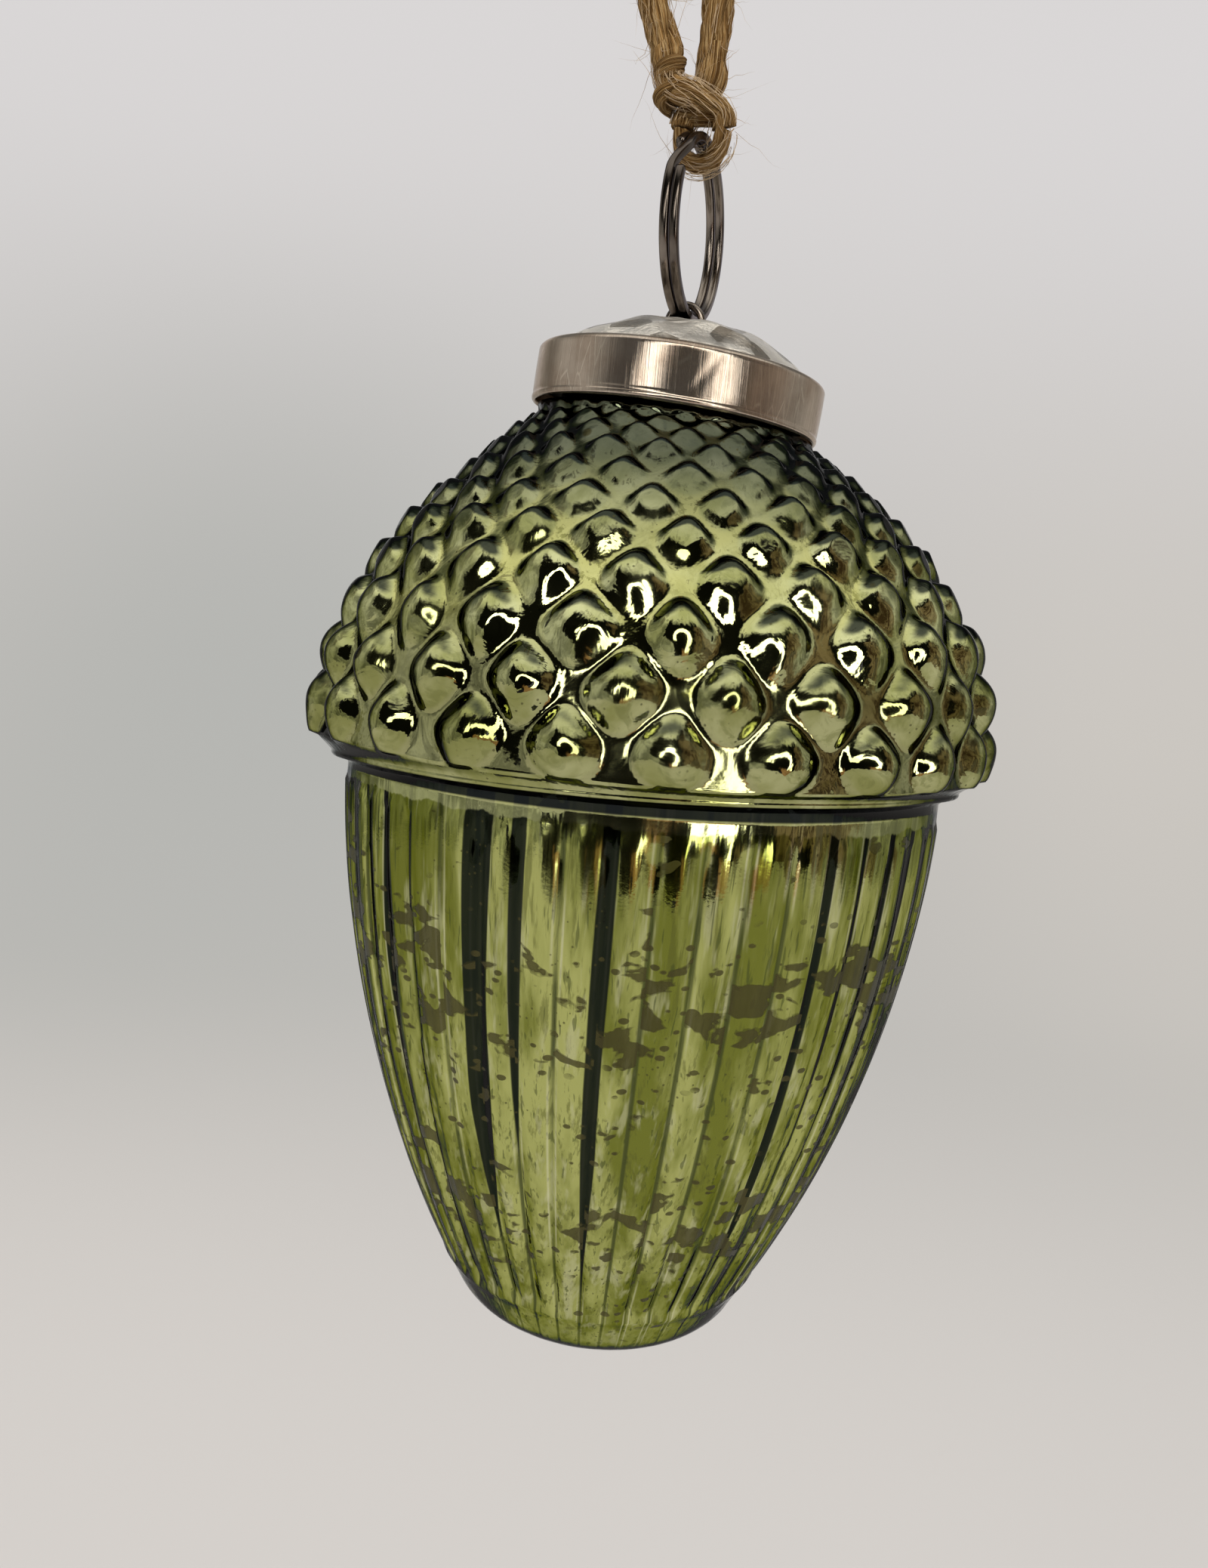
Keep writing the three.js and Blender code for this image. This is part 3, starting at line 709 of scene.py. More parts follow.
def make_twine():
    jute, hair = jute_finish(), hair_finish()
    route = smooth_path(LOOP_ROUTE, LOOP_STEP)
    loop = twisted_strand("twine_plies", route, TWINE_DIAMETER, TWINE_DIAMETER)
    side = (-math.sin(RING_YAW), -math.cos(RING_YAW), 0)
    bight = bight_path()
    hitch = twisted_strand("hitch_plies", bight, 3.7, 1.75, side, lay=16)
    strands = knot_paths()
    knotted = []
    for n, path in enumerate(strands):
        width = knot_width(path, n < 2)
        knotted.append(twisted_strand(f"knot_{n}", path, width, width, turn=n))
    knot = join_surfaces("knot_plies", knotted)
    hairy = [route, *strands[:2], bight]
    hairs = loose_hairs("twine_hairs", hairy, TWINE_DIAMETER / 2, 3.2, 7.0, SEED)
    dress(loop, jute, "twine", "jute", "twine_loop")
    dress(hitch, jute, "twine", "jute", "twine_hitch")
    dress(knot, jute, "twine", "jute", "twine_knot")
    dress(hairs, hair, "twine", "jute")
    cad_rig.cord(
        loop,
        exit=tuple(c * MM for c in LOOP_ROUTE[0]),
        length=np.sum(stretches(route)) * MM,
        diameter=TWINE_DIAMETER * MM,
        far_end="knot",
        stiffness="limp",
        lay="taut",
        path=(route * MM).tolist(),
        with_pieces=[hairs, knot, hitch],
    )


# Metal: split ring, eyelet, band and dome


def swept(name, path, sides, ups, section):
    """A wire whose section is given as points across the sides and the ups."""
    across, upward = section[None, :, 0:1], section[None, :, 1:2]
    rows = path[:, None] + across * sides[:, None] + upward * ups[:, None]
    return surface(name, rows, True, (True, True))


def rounded_section(width, depth, corner):
    """Points round a flat wire's section, with four steps to each corner."""
    points = []
    for k, (sx, sy) in enumerate(((1, 1), (-1, 1), (-1, -1), (1, -1))):
        for j in range(5):
            angle = (k + j / 4) * math.pi / 2
            x = sx * (width / 2 - corner) + corner * math.cos(angle)
            points.append((x, sy * (depth / 2 - corner) + corner * math.sin(angle)))
    return np.array(points)


def ring_frame(points):
    """Turns points from the split ring's own axes to those of the whole object."""
    cos, sin = math.cos(RING_YAW), math.sin(RING_YAW)
    x, y, z = points[..., 0], points[..., 1], points[..., 2]
    return np.stack([x * cos + y * sin, -x * sin + y * cos, z + RING_CENTRE], -1)


def steel_finish():
    steel = Finish("gunmetal", metallic=1.0, specular_tint=(0.6, 0.6, 0.66))
    place = steel.place()
    scuffs = steel.noise(steel.stretched(place, 0.25), 2400, 3, 0.6)
    bloom = steel.noise(steel.stretched(place, 0.3), 260, 3, 0.6)
    colour = steel.tint(steel.step(bloom, 0.35, 0.7), (0.12, 0.1, 0.085), (0.31, 0.265, 0.225))
    colour = steel.tint(steel.step(scuffs, 0.66, 0.84) * 0.35, colour, (0.5, 0.43, 0.36))
    steel.wear("Base Color", colour)
    steel.wear("Roughness", 0.16 + 0.08 * steel.step(bloom, 0.4, 0.8) + 0.03 * scuffs)
    return steel.material


def make_split_ring(steel):
    """Two turns of flat wire, which step aside where the second begins."""
    turned_by = np.linspace(0, 4 * math.pi - COIL_JOG, RING_POINTS)
    aside = np.clip((turned_by - (2 * math.pi - COIL_JOG)) / COIL_JOG, 0, 1)
    aside = (eased(aside) - 0.5) * COIL_SPACING
    angle = turned_by + COIL_START
    path = np.stack([aside, RING_MEAN * np.sin(angle), RING_MEAN * np.cos(angle)], 1)
    outward = np.stack([0 * angle, np.sin(angle), np.cos(angle)], 1)
    sideways = np.tile((1.0, 0, 0), (len(angle), 1))
    zero = ring_frame(np.zeros(3))
    sides, ups = ring_frame(sideways) - zero, ring_frame(outward) - zero
    section = rounded_section(RING_WIDTH, RING_DEPTH, RING_CORNER)
    ring = swept("split_ring_wire", ring_frame(path), sides, ups, section)
    dress(ring, steel, "ring", "dark_steel", "split_ring")


def make_eyelet(steel):
    """A wire loop whose legs bend outward under the dome."""
    under_dome = DOME_APEX - DOME_SHEET - 0.3 - EYELET_WIRE / 2
    leg_top = under_dome - EYELET_REACH * math.sin(CAP_LEAN) * 0.5 - RING_CENTRE

    def leg(side):
        points = []
        for a in np.arange(7) / 6 * math.pi / 2:
            out = EYELET_RADIUS + EYELET_BEND * (1 - math.cos(a))
            points.append((side * out, 0, leg_top + EYELET_BEND * (1 - math.sin(a))))
        return [*points, (side * EYELET_REACH, 0, leg_top - 1.4)]

    arch = [
        (EYELET_RADIUS * math.cos(a), 0, EYELET_CENTRE + EYELET_RADIUS * math.sin(a))
        for a in np.linspace(0, math.pi, 17)
    ]
    path = ring_frame(smooth_path([*leg(1)[::-1], *arch, *leg(-1)], EYELET_STEP))
    sides, ups = carried_frames(path)
    beta = circle(16)
    section = EYELET_WIRE / 2 * np.stack([np.cos(beta), np.sin(beta)], 1)
    eyelet = swept("eyelet_wire", path, sides, ups, section)
    dress(eyelet, steel, "eyelet", "dark_steel", "wire_eyelet")


def leaned(rows):
    """Leans points that are built about the band's middle, as the metal cap sits."""
    cos, sin = math.cos(CAP_LEAN), math.sin(CAP_LEAN)
    x, y, z = rows[..., 0], rows[..., 1], rows[..., 2]
    return np.stack([x * cos + z * sin, y, z * cos - x * sin + BAND_MIDDLE], -1)


def nickel_finish():
    nickel = Finish("pink_nickel", metallic=0.9, specular_tint=(0.8, 0.75, 0.7))
    place = nickel.place()
    x, y, _ = nickel.axes(place)
    round_band = nickel.add("ShaderNodeCombineXYZ", {}, [nickel.bearing(x, y) * 15, 0.0, 0.0])
    streaks = nickel.noise(round_band, 9, 4, 0.75)
    brushed = nickel.noise(nickel.stretched(place, 0.06), 3200, 3, 0.6)
    tarnish = nickel.noise(place, 150, 4, 0.65)
    net = nickel.cells(nickel.stretched(place, 0.12), 900, "DISTANCE_TO_EDGE")
    scratch = nickel.step(net, 0.03, 0.0)
    colour = nickel.tint(nickel.step(tarnish, 0.35, 0.75), (0.5, 0.42, 0.345), (0.33, 0.25, 0.19))
    colour = nickel.tint(nickel.step(streaks, 0.5, 0.68) * 0.7, colour, (0.2, 0.125, 0.07))
    colour = nickel.tint(nickel.step(brushed, 0.6, 0.85) * 0.4, colour, (0.72, 0.62, 0.52))
    nickel.wear("Base Color", nickel.tint(scratch * 0.35, colour, (0.8, 0.72, 0.6)))
    nickel.wear("Roughness", 0.05 + 0.08 * nickel.step(tarnish, 0.3, 0.8) + 0.05 * brushed)
    nickel.wear("Normal", nickel.relief(streaks + 0.4 * brushed, 0.00005, 0.22))
    return nickel.material


def make_band():
    half, inner = BAND_HEIGHT / 2, BAND_RADIUS - BAND_SHEET
    profile = [
        (BAND_RADIUS - 0.35 + 0.35 * math.sin(a), -half + 0.42 - 0.42 * math.cos(a))
        for a in np.linspace(0, 2.4, 8)
    ]
    profile += [
        (BAND_RADIUS - 0.05 + 0.03 * math.sin(t * 3), -half + 0.95 + t * (BAND_HEIGHT - 1.85))
        for t in np.linspace(0, 1, 16)
    ]
    profile += [
        (BAND_RADIUS - 0.9 + 0.86 * math.cos(a), half - 0.72 + 0.72 * math.sin(a))
        for a in np.linspace(0.15, math.pi / 2, 9)
    ]
    mouth = BAND_RADIUS - BAND_SHOULDER
    profile += [(mouth + 0.5, half + 0.14), (mouth + 0.1, half + 0.25), (mouth, half + 0.2)]
    profile += [(mouth, half - 0.2), (inner - 0.5, half - 0.5), (inner, half - 1.2)]
    profile += [(inner, -half + 0.4), (inner + 0.1, -half + 0.05), profile[0]]
    rows = turned(profile, BAND_AROUND)
    angle = circle(BAND_AROUND)
    dent = wobble(angle[None], rows[..., 2], 31, 0.045, 8, 9, 0.5)
    off_crease = angle - math.radians(9)
    crease = np.arctan2(np.sin(off_crease), np.cos(off_crease))[None] * BAND_RADIUS
    slanted = crease - rows[..., 2] * 0.55
    dent = dent - 0.06 * bump(slanted, 0, 0.5) * np.clip(rows[..., 2] + 2, 0, 1)
    grow = 1 + dent / BAND_RADIUS
    rows = np.stack([rows[..., 0] * grow, rows[..., 1] * grow, rows[..., 2]], -1)
    band = surface("band_ferrule", leaned(rows))
    dress(band, nickel_finish(), "bauble", "nickel_band", "cap_band")


def tin_finish():
    tin = Finish("hammered_tin", metallic=0.6)
    place = tin.place()
    facets = tin.cells(place, 330, "SMOOTH_F1")
    tones = tin.axes(tin.cells(place, 330, "F1", "Color"))[0]
    cloud = tin.noise(place, 180, 4, 0.6)
    fine = tin.noise(place, 2200, 3, 0.6)
    tone = tin.step(cloud + 0.5 * tones, 0.5, 0.9)
    colour = tin.tint(tone, (0.17, 0.145, 0.115), (0.62, 0.575, 0.51))
    tin.wear("Base Color", tin.tint(tin.step(fine, 0.6, 0.8) * 0.35, colour, (0.2, 0.17, 0.14)))
    tin.wear("Roughness", 0.2 + 0.2 * cloud)
    tin.wear("Normal", tin.relief(facets * 1.4 + cloud + 0.12 * fine, 0.0014, 0.9))
    return tin.material


def make_dome():
    angle = circle(DOME_AROUND)
    half = BAND_HEIGHT / 2
    base, flange = half + DOME_STEP, half - 0.9
    rows = []
    for share in np.concatenate([np.linspace(0, 0.94, 44), np.linspace(0.955, 1, 6)]):
        radius = DOME_HOLE + share * (DOME_RADIUS - DOME_HOLE)
        height = base + DOME_RISE * (1 - (radius / DOME_RADIUS) ** (2.8 + 0.6 * np.sin(angle)))
        calm = min(1, 8 * share, 8 * (1 - share))
        dent = calm * wobble(angle, radius * 2.2, 5, 0.15, 14, 9, 0.6)
        rows.append(np.stack([radius * np.sin(angle), -radius * np.cos(angle), height + dent], -1))
    inside = DOME_RADIUS - DOME_SHEET
    for radius, height in (
        (DOME_RADIUS, flange),
        (DOME_RADIUS + 1.1, flange),
        (DOME_RADIUS + 1.1, flange - DOME_SHEET),
        (inside, flange - DOME_SHEET),
        (inside, base - DOME_SHEET),
        (9.0, base + 2.3),
        (DOME_HOLE, base + DOME_RISE - DOME_SHEET),
    ):
        rows.append(turned([(radius, height)], DOME_AROUND)[0])
    rows.append(rows[0])
    dome = surface("dome_sheet", leaned(np.array(rows)))
    dress(dome, tin_finish(), "bauble", "tin_dome", "cap_dome")


# Glass


def scale_depth(row):
    """How far a row's scales stand out, in millimetres."""
    return np.interp(row, (0, 1, 2, 3, 4, 6, 9), (2.2, 2.05, 1.9, 1.7, 1.45, 1.0, 0.6))


def scale_lift(row, angle):
    """How far the glass stands out, what share of its scale that is, and where a dark reflection is painted along the
    scale's upper edge.
    """
    across = (angle - math.radians(4.0)) / (math.pi / SCALES_AROUND)
    row = np.where(row < 0, 0.8 * row, row)
    sway = 0.06 * np.sin(0.7 * row - 2 * angle) + 0.04 * np.sin(5 * angle - 1.9 * row + 2)
    sway = sway + 0.05 * np.sin(9 * angle + 2.3 * row + 1) + 0.035 * np.sin(17 * angle - 3.1 * row)
    climb, fall = (across + row + sway) / 2, (across - row + 0.7 * sway) / 2
    level = np.round(climb) - np.round(fall)
    column = (np.round(climb) + np.round(fall)).astype(int) % (2 * SCALES_AROUND)
    dice = np.random.RandomState(SEED)
    sizes = dice.uniform(0.78, 1.12, (SCALE_ROWS + 4, 2 * SCALES_AROUND))
    on = (level >= 0) & (level < SCALE_ROWS)
    level = np.clip(level, 0, SCALE_ROWS - 1).astype(int)
    u, v = 2 * (climb - np.round(climb)), 2 * (fall - np.round(fall))
    away = (np.abs(u) ** 3 + np.abs(v) ** 3) ** (1 / 3)
    dome = 1 - 0.62 * (away / 0.9) ** 2 - 0.38 * (away / 0.9) ** 4
    steep = (dome + np.sqrt(dome**2 + 0.01)) / 2
    soft = np.cos(math.pi / 2 * np.clip(away / 1.12, 0, 1)) ** 2
    flat = np.clip((level - 1.2) / 2.4, 0, 1)
    lower = np.clip(0.3 - 0.5 * (u - v), 0, 1)
    rim = np.clip((1.08 - away) / (0.55 + 0.6 * lower), 0, 1)
    shingle = eased(rim) * np.clip((u - v + 2.2) / 3.2, 0, 1)
    swell = (1 - flat) * (0.5 * steep + 0.5 * soft) + flat * shingle
    dark_arc_reflection = bump(away, 0.64, 0.27) * np.clip((u - v - 0.15) / 0.5, 0, 1) * (0.5 + 0.5 * flat)
    lift = scale_depth(level) * sizes[level, column] * swell
    return np.where(on, lift, 0), np.where(on, np.clip(swell, 0, 1), 0), np.where(on, dark_arc_reflection, 0)


def hanging(angle):
    """Where the cap's lowest scales sag over the joint, at its two sides."""
    return np.exp(-(1 + np.sin(angle)) / 0.1) + 0.8 * np.exp(-(1 - np.sin(angle)) / 0.1)


def seam_rise(angle):
    """How far the joint of cap and nut stands above its level, being made by hand."""
    return 0.7 + 0.7 * np.sin(angle) + 0.6 * np.cos(angle) - 1.3 * hanging(angle)


def glass_rows():
    """Rows of points up the glass, and what each point carries for its finish."""
    angle = circle(GLASS_AROUND)
    foot = GROOVE - NUT_HEIGHT
    foot_line, foot_out = outline(
        (0.001, foot),
        (0.54 * FOOT_RADIUS, foot),
        (0.89 * FOOT_RADIUS, foot + 0.3 * FOOT_HEIGHT),
        (FOOT_RADIUS, foot + FOOT_HEIGHT),
        24,
        False,
    )
    nut_line, nut_out = outline(
        (FOOT_RADIUS, foot + FOOT_HEIGHT),
        (0.88 * NUT_RADIUS, GROOVE - 0.585 * NUT_HEIGHT),
        (NUT_RADIUS, GROOVE - 0.24 * NUT_HEIGHT),
        (NUT_RADIUS, GROOVE - 0.6),
        400,
    )
    nut_line, nut_out, _ = evenly(nut_line, nut_out, 0.8)
    cap_line, cap_out = outline(
        (CAP_RADIUS, GROOVE + RIM_HEIGHT),
        (CAP_RADIUS, GROOVE + 0.36 * SHOULDER_HEIGHT),
        (0.83 * CAP_RADIUS, GROOVE + 0.735 * SHOULDER_HEIGHT),
        (SHOULDER_TOP_RADIUS - 0.3, GROOVE + SHOULDER_HEIGHT + 1.1),
        600,
    )
    cap_line, cap_out, far = evenly(cap_line, cap_out, 0.24)

    lines, outs, lifts, reliefs, dark_arc_reflections = [], [], [], [], []

    def push(line, out, lift, relief, dark_arc_reflection=None):
        lines.extend(line)
        outs.extend(out)
        lifts.extend(lift)
        reliefs.extend(relief)
        dark_arc_reflections.extend(dark_arc_reflection or [0 * value for value in relief])

    plain = np.zeros(GLASS_AROUND)
    push(foot_line, foot_out, [plain] * len(foot_line), [plain + 0.6] * len(foot_line))

    dice = np.random.RandomState(SEED + 1)
    deep, tilt = dice.uniform(0.22, 0.6, FLUTES), dice.uniform(-0.32, 0.32, FLUTES)
    for (radius, height), out in zip(nut_line, nut_out):
        turns = angle / (2 * math.pi) * FLUTES + wobble(angle, height, 3, 0.06, 8, 24, 0.3)
        off, index = 2 * (turns - np.round(turns)), np.round(turns).astype(int) % FLUTES
        arch = eased(np.clip((GROOVE - height - 2.0 - 1.5 * off**2) / 0.8, 0, 1))
        fade = np.clip((height - (foot + FOOT_HEIGHT + 3.6)) / 1.2, 0, 1)
        flute = -deep[index] * off**2 + tilt[index] * off * (1 - off**2)
        flute = flute + 0.05 * np.cos(3 * math.pi * off + index + 0.1 * height) * (1 - off**2)
        wave = wobble(angle, height, 12, 0.06, 10, 14, 0.16)
        seam = 0.18 * bump(height, foot + FOOT_HEIGHT + 3.4, 0.35)
        lift = fade * (arch * flute - (1 - arch) * 0.2) + wave + seam
        push([(radius, height)], [out], [lift], [(1 - off**2) * fade * arch])

    lip = [(33.05, -0.5), (33.25, -0.22), (33.7, -0.08), (34.2, 0.0)]
    bead = np.linspace(0.3, 1.9, 8)
    lip += [(34.35 + 0.4 * math.sin(a), 0.42 - 0.42 * math.cos(a)) for a in bead]
    lip += [(34.8, 0.75), (35.05, 1.1), (35.4, 1.55), (35.8, 2.0)]
    for n, (radius, height) in enumerate(lip):
        wave = 0.06 * np.sin(3 * angle + 1) + 0.05 * np.sin(11 * angle)
        wave = wave + 0.9 * hanging(angle) * np.interp(height, (0.6, 2), (0, 1))
        push([(radius, GROOVE + height)], [(1, 0)], [wave], [plain + (0.0 if n < 4 else 0.6)])

    count = np.arange(-2, 11, 0.05)
    known = 3.6 + 5.28 * count - 0.013 * count**3 + 0.5 * bump(count, 3, 1.6)
    rows = np.interp(far, known, count)
    for (radius, height), out, row in zip(cap_line, cap_out, rows):
        lift, share, dark_arc_reflection = scale_lift(row, angle)
        wave = wobble(angle, height, 21, 0.07, 10, 10, 0.3)
        up = height - GROOVE
        wave = wave + (0.2 + 0.5 * np.sin(angle)) * bump(up, 15, 8) + 0.4 * bump(up, 18, 7)
        wave = wave - 0.25 * (1 - np.sin(angle)) * (bump(up, 30, 3.6) + bump(up, 36, 3.0))
        wave = wave + 0.9 * hanging(angle) * bump(up, 2, 1.6)
        push([(radius, height)], [out], [lift - scale_depth(row) + wave], [share], [dark_arc_reflection])

    top = GROOVE + SHOULDER_HEIGHT
    neck = [(15.1, top + 1.2), (14.5, top + 1.3), (13.2, top + 1.45), (NECK_RADIUS, top + 2)]
    inside = NECK_RADIUS - NECK_WALL
    neck += [(NECK_RADIUS, GLASS_LIP - 0.4), (NECK_RADIUS - 0.3, GLASS_LIP)]
    neck += [(NECK_RADIUS - 1.2, GLASS_LIP), (inside, GLASS_LIP - 0.4), (inside, top + 0.5)]
    push(neck, [(1, 0)] * len(neck), [plain] * len(neck), [plain] * len(neck))

    lines, outs = np.array(lines, float), np.array(outs, float)
    lifts, reliefs, dark_arc_reflections = np.array(lifts), np.array(reliefs), np.array(dark_arc_reflections)
    radius = lines[:, 0:1] + lifts * outs[:, 0:1]
    height = lines[:, 1:2] + lifts * outs[:, 1:2]
    level = height - GROOVE
    height = height + bump(level, 0.3, 2.6) * seam_rise(angle)
    leaning = np.clip((level - 26) / 11, 0, 1) ** 2 * (radius > NECK_RADIUS + 0.5)
    height = height - leaning * radius * np.sin(angle) * math.tan(CAP_LEAN)
    rows = np.stack([radius * np.sin(angle), -radius * np.cos(angle), height], -1)
    return rows, {"relief": reliefs, "level": level, "dark_arc_reflection": dark_arc_reflections}


def cap_colour(glass, place, height, relief):
    """Pale where the silver is whole, with yellow in the valleys and clouds of olive; the lowest rows darkened as a
    painted dark reflection, and painted shade and dark reflection under the band.
    """
    cloud = glass.noise(place, 170, 4, 0.55, 0.6)
    wisps = glass.noise(place, 380, 5, 0.62, 1.6)
    cap = glass.tint(glass.step(cloud, 0.34, 0.66), (0.36, 0.375, 0.13), (0.64, 0.655, 0.34))
    cap = glass.tint(glass.step(wisps, 0.5, 0.66) * 0.5, cap, (0.2, 0.215, 0.065))
    valley = 1 - glass.step(relief, 0.03, 0.22)
    stain = glass.step(glass.noise(place, 75, 3, 0.6), 0.45, 0.6)
    low = glass.step(height, 17.0, 11.0)
    # Painted dark reflection: the lowest rows are darker, for the dark room that they mirror.
    cap = glass.tint(low * 0.35, cap, (0.17, 0.18, 0.045))
    cap = glass.tint(valley * low * 0.6, cap, (0.4, 0.4, 0.2))
    cap = glass.tint(valley * (1 - low) * (0.3 + 0.5 * stain), cap, (0.6, 0.59, 0.22))
    grime = glass.step(glass.noise(place, 900, 4, 0.7), 0.52, 0.62) * valley * stain
    cap = glass.tint(grime * 0.6, cap, (0.14, 0.14, 0.015))
    # Painted shade and dark reflection: the rows just under the band turn nearly black.
    return glass.tint(glass.step(height, 20.0, 34.0) * 0.85, cap, (0.035, 0.045, 0.045))


def nut_colour(glass, place, height, turns):
    """Flutes with tones of their own, painted shade along the joints with a painted highlight beside it, long painted
    dark reflections down some joints, and brown blotches in two belts.
    """
    joint = round(turns - 0.5)
    off_joint = abs(turns - joint - 0.5)
    own = glass.chance(round(turns) * 1.7 + 3.7)
    slid = glass.add("ShaderNodeCombineXYZ", {}, [0.0, 0.0, own * 0.011])
    sliding = glass.add("ShaderNodeVectorMath", {"operation": "ADD"}, [place, slid])
    drift = glass.noise(glass.stretched(sliding, 0.16), 230, 4, 0.6)
    tone = glass.step(own * 0.22 + drift, 0.46, 0.74)
    nut = glass.tint(tone, (0.2, 0.225, 0.03), (0.5, 0.53, 0.17))
    streak = glass.noise(glass.stretched(place, 0.05), 1100, 4, 0.7)
    nut = glass.tint(glass.step(streak, 0.52, 0.64) * 0.55, nut, (0.13, 0.14, 0.025))
    pale = glass.step(glass.noise(glass.stretched(place, 0.09), 620, 3, 0.6), 0.54, 0.68)
    nut = glass.tint(pale * 0.5, nut, (0.66, 0.67, 0.39))

    fine = glass.noise(glass.stretched(place, 0.02), 1900, 2, 0.5)
    nut = glass.tint(glass.step(fine, 0.62, 0.68) * 0.6, nut, (0.07, 0.09, 0.02))
    broken = glass.step(glass.noise(glass.stretched(place, 0.35), 130, 2, 0.5), 0.4, 0.55)
    # Painted shade in the grooves between the flutes, and a painted highlight beside each groove.
    joint_shade = 1 - glass.step(off_joint, 0.03, 0.09)
    nut = glass.tint(joint_shade * (0.25 + 0.6 * broken), nut, (0.06, 0.075, 0.02))
    joint_highlight = glass.between(off_joint, 0.09, 0.14, 0.025) * (1 - broken)
    nut = glass.tint(joint_highlight * 0.6, nut, (0.78, 0.78, 0.5))
    # Painted dark reflections: long near-black lines down some of the joints.
    luck = glass.chance(joint * 1.3 + 11.2)
    dark_reflection_joints = glass.step(luck, 0.58, 0.59) + glass.step(abs(joint + 4), 0.6, 0.4)
    end = -34 - 28 * glass.chance(joint * 2.1 + 5.3)
    edge = glass.noise(glass.stretched(place, 0.2), 160, 2, 0.4) - 0.5
    size = 0.1 + 0.14 * glass.chance(joint * 3.7 + 1.9)
    wide = size * glass.step(height, end, end + 26) + 0.14 * edge
    wide = wide * glass.step(height, end, end + 3) * dark_reflection_joints
    line = 1 - glass.step(off_joint, wide - 0.04, wide + 0.004)
    nut = glass.tint(line * 0.97, nut, (0.004, 0.009, 0.005))

    belts = glass.between(height, -24.0, -14.0, 5.0)
    belts = belts + 0.9 * glass.between(height, -49.0, -40.0, 4.0)
    patch = glass.noise(glass.stretched(sliding, 1.7), 190, 3, 0.5, 0.3) + 0.13 * belts
    blotch = glass.step(patch, 0.668, 0.678)
    rim = glass.between(patch, 0.658, 0.682, 0.006)
    spots = glass.cells(glass.stretched(place, 1.6), 430)
    some = glass.step(glass.noise(place, 140, 2), 0.46, 0.52)
    spot = (1 - glass.step(spots, 0.2, 0.25)) * some * glass.between(height, -58.0, -9.0, 3.0)
    worn = glass.add("ShaderNodeClamp", {}, [blotch + spot])
    brown = glass.tint(drift, (0.03, 0.026, 0.007), (0.1, 0.088, 0.028))
    nut = glass.tint(worn * 0.9, nut, brown)
    nut = glass.tint(rim * 0.5, nut, (0.05, 0.045, 0.012))
    foot = glass.step(height, -57.5, -60.0)
    return glass.tint(foot * 0.35, nut, (0.3, 0.33, 0.1)), worn


def glass_finish():
    glass = Finish(
        "silvered_green_glass",
        metallic=1.0,
        specular_tint=(0.02, 0.04, 0.045),
        coat_weight=0.22,
        coat_roughness=0.02,
        coat_ior=1.5,
    )
    place = glass.place()
    x, y, z = glass.axes(place)
    height = (z - GROOVE * MM) * 1000
    level = glass.carried("level")
    on_cap = glass.step(level, -0.2, 0.2)
    on_nut = 1 - on_cap
    turns = glass.bearing(x, 0 - y) * (FLUTES / (2 * math.pi))
    nut, worn = nut_colour(glass, place, height, turns)
    cap = cap_colour(glass, place, height, glass.carried("relief"))
    colour = glass.tint(on_cap, nut, cap)

    # Nearly black where the green glass is seen at a slant, and a painted dark reflection along the
    # upper edge of each scale.
    slant = glass.add("ShaderNodeLayerWeight", {}, {"Blend": 0.5}, "Facing")
    dark = on_cap * glass.step(slant, 0.42, 0.8) * 0.85
    dark = dark + 0.6 * on_nut * glass.step(slant, 0.55, 0.95)
    colour = glass.tint(dark, colour, (0.008, 0.014, 0.013))
    ragged = glass.noise(place, 300, 3, 0.6)
    thick = glass.step(glass.carried("dark_arc_reflection") + 0.5 * (ragged - 0.5), 0.3, 0.62)
    colour = glass.tint(thick * 0.92, colour, (0.01, 0.017, 0.017))

    # Round spots and pinholes where the silver is gone, and painted shade: the black line under the lip.
    near = glass.cells(place, 150)
    lucky = glass.step(glass.axes(glass.cells(place, 150, "F1", "Color"))[0], 0.66, 0.7)
    round_spot = (1 - glass.step(near, 0.11, 0.14)) * lucky * on_cap
    colour = glass.tint(round_spot * 0.9, colour, (0.05, 0.045, 0.015))
    pins = 1 - glass.step(glass.cells(place, 1100), 0.1, 0.17)
    pins = pins * glass.step(glass.noise(place, 130, 2), 0.5, 0.6)
    colour = glass.tint(pins * 0.7, colour, (0.07, 0.065, 0.02))
    groove_shade = glass.between(level, -1.2, 0.1, 0.1)
    colour = glass.tint(groove_shade * 0.97, colour, (0.008, 0.012, 0.013))
    edge = glass.noise(glass.stretched(place, 0.3), 420, 3, 0.6)
    crown = glass.between(level, -1.4 - 1.4 * edge, -1.2, 0.1)
    colour = glass.tint(crown * 0.75, colour, (0.6, 0.62, 0.3))

    glass.wear("Base Color", colour)
    milky = glass.step(glass.noise(place, 95, 3, 0.5), 0.4, 0.62)
    soft = 0.03 + 0.1 * milky + 0.2 * worn * on_nut + 0.1 * round_spot
    glass.wear("Roughness", soft + 0.03 * on_nut)
    glass.wear("Metallic", 1 - 0.3 * worn * on_nut)
    grit = glass.noise(place, 2600, 2, 0.5)
    ripple = glass.noise(glass.stretched(place, 0.15), 420, 3, 0.5) * on_nut
    swirl = glass.noise(place, 260, 3, 0.5, 0.8) * on_cap
    glass.wear("Normal", glass.relief(ripple + 0.9 * swirl + 0.03 * grit, 0.0006, 0.3))
    return glass.material


def make_glass():
    rows, carried = glass_rows()
    glass = surface("acorn_glass", rows, carried=carried)
    dress(glass, glass_finish(), "bauble", "silvered_glass", "glass_shell")


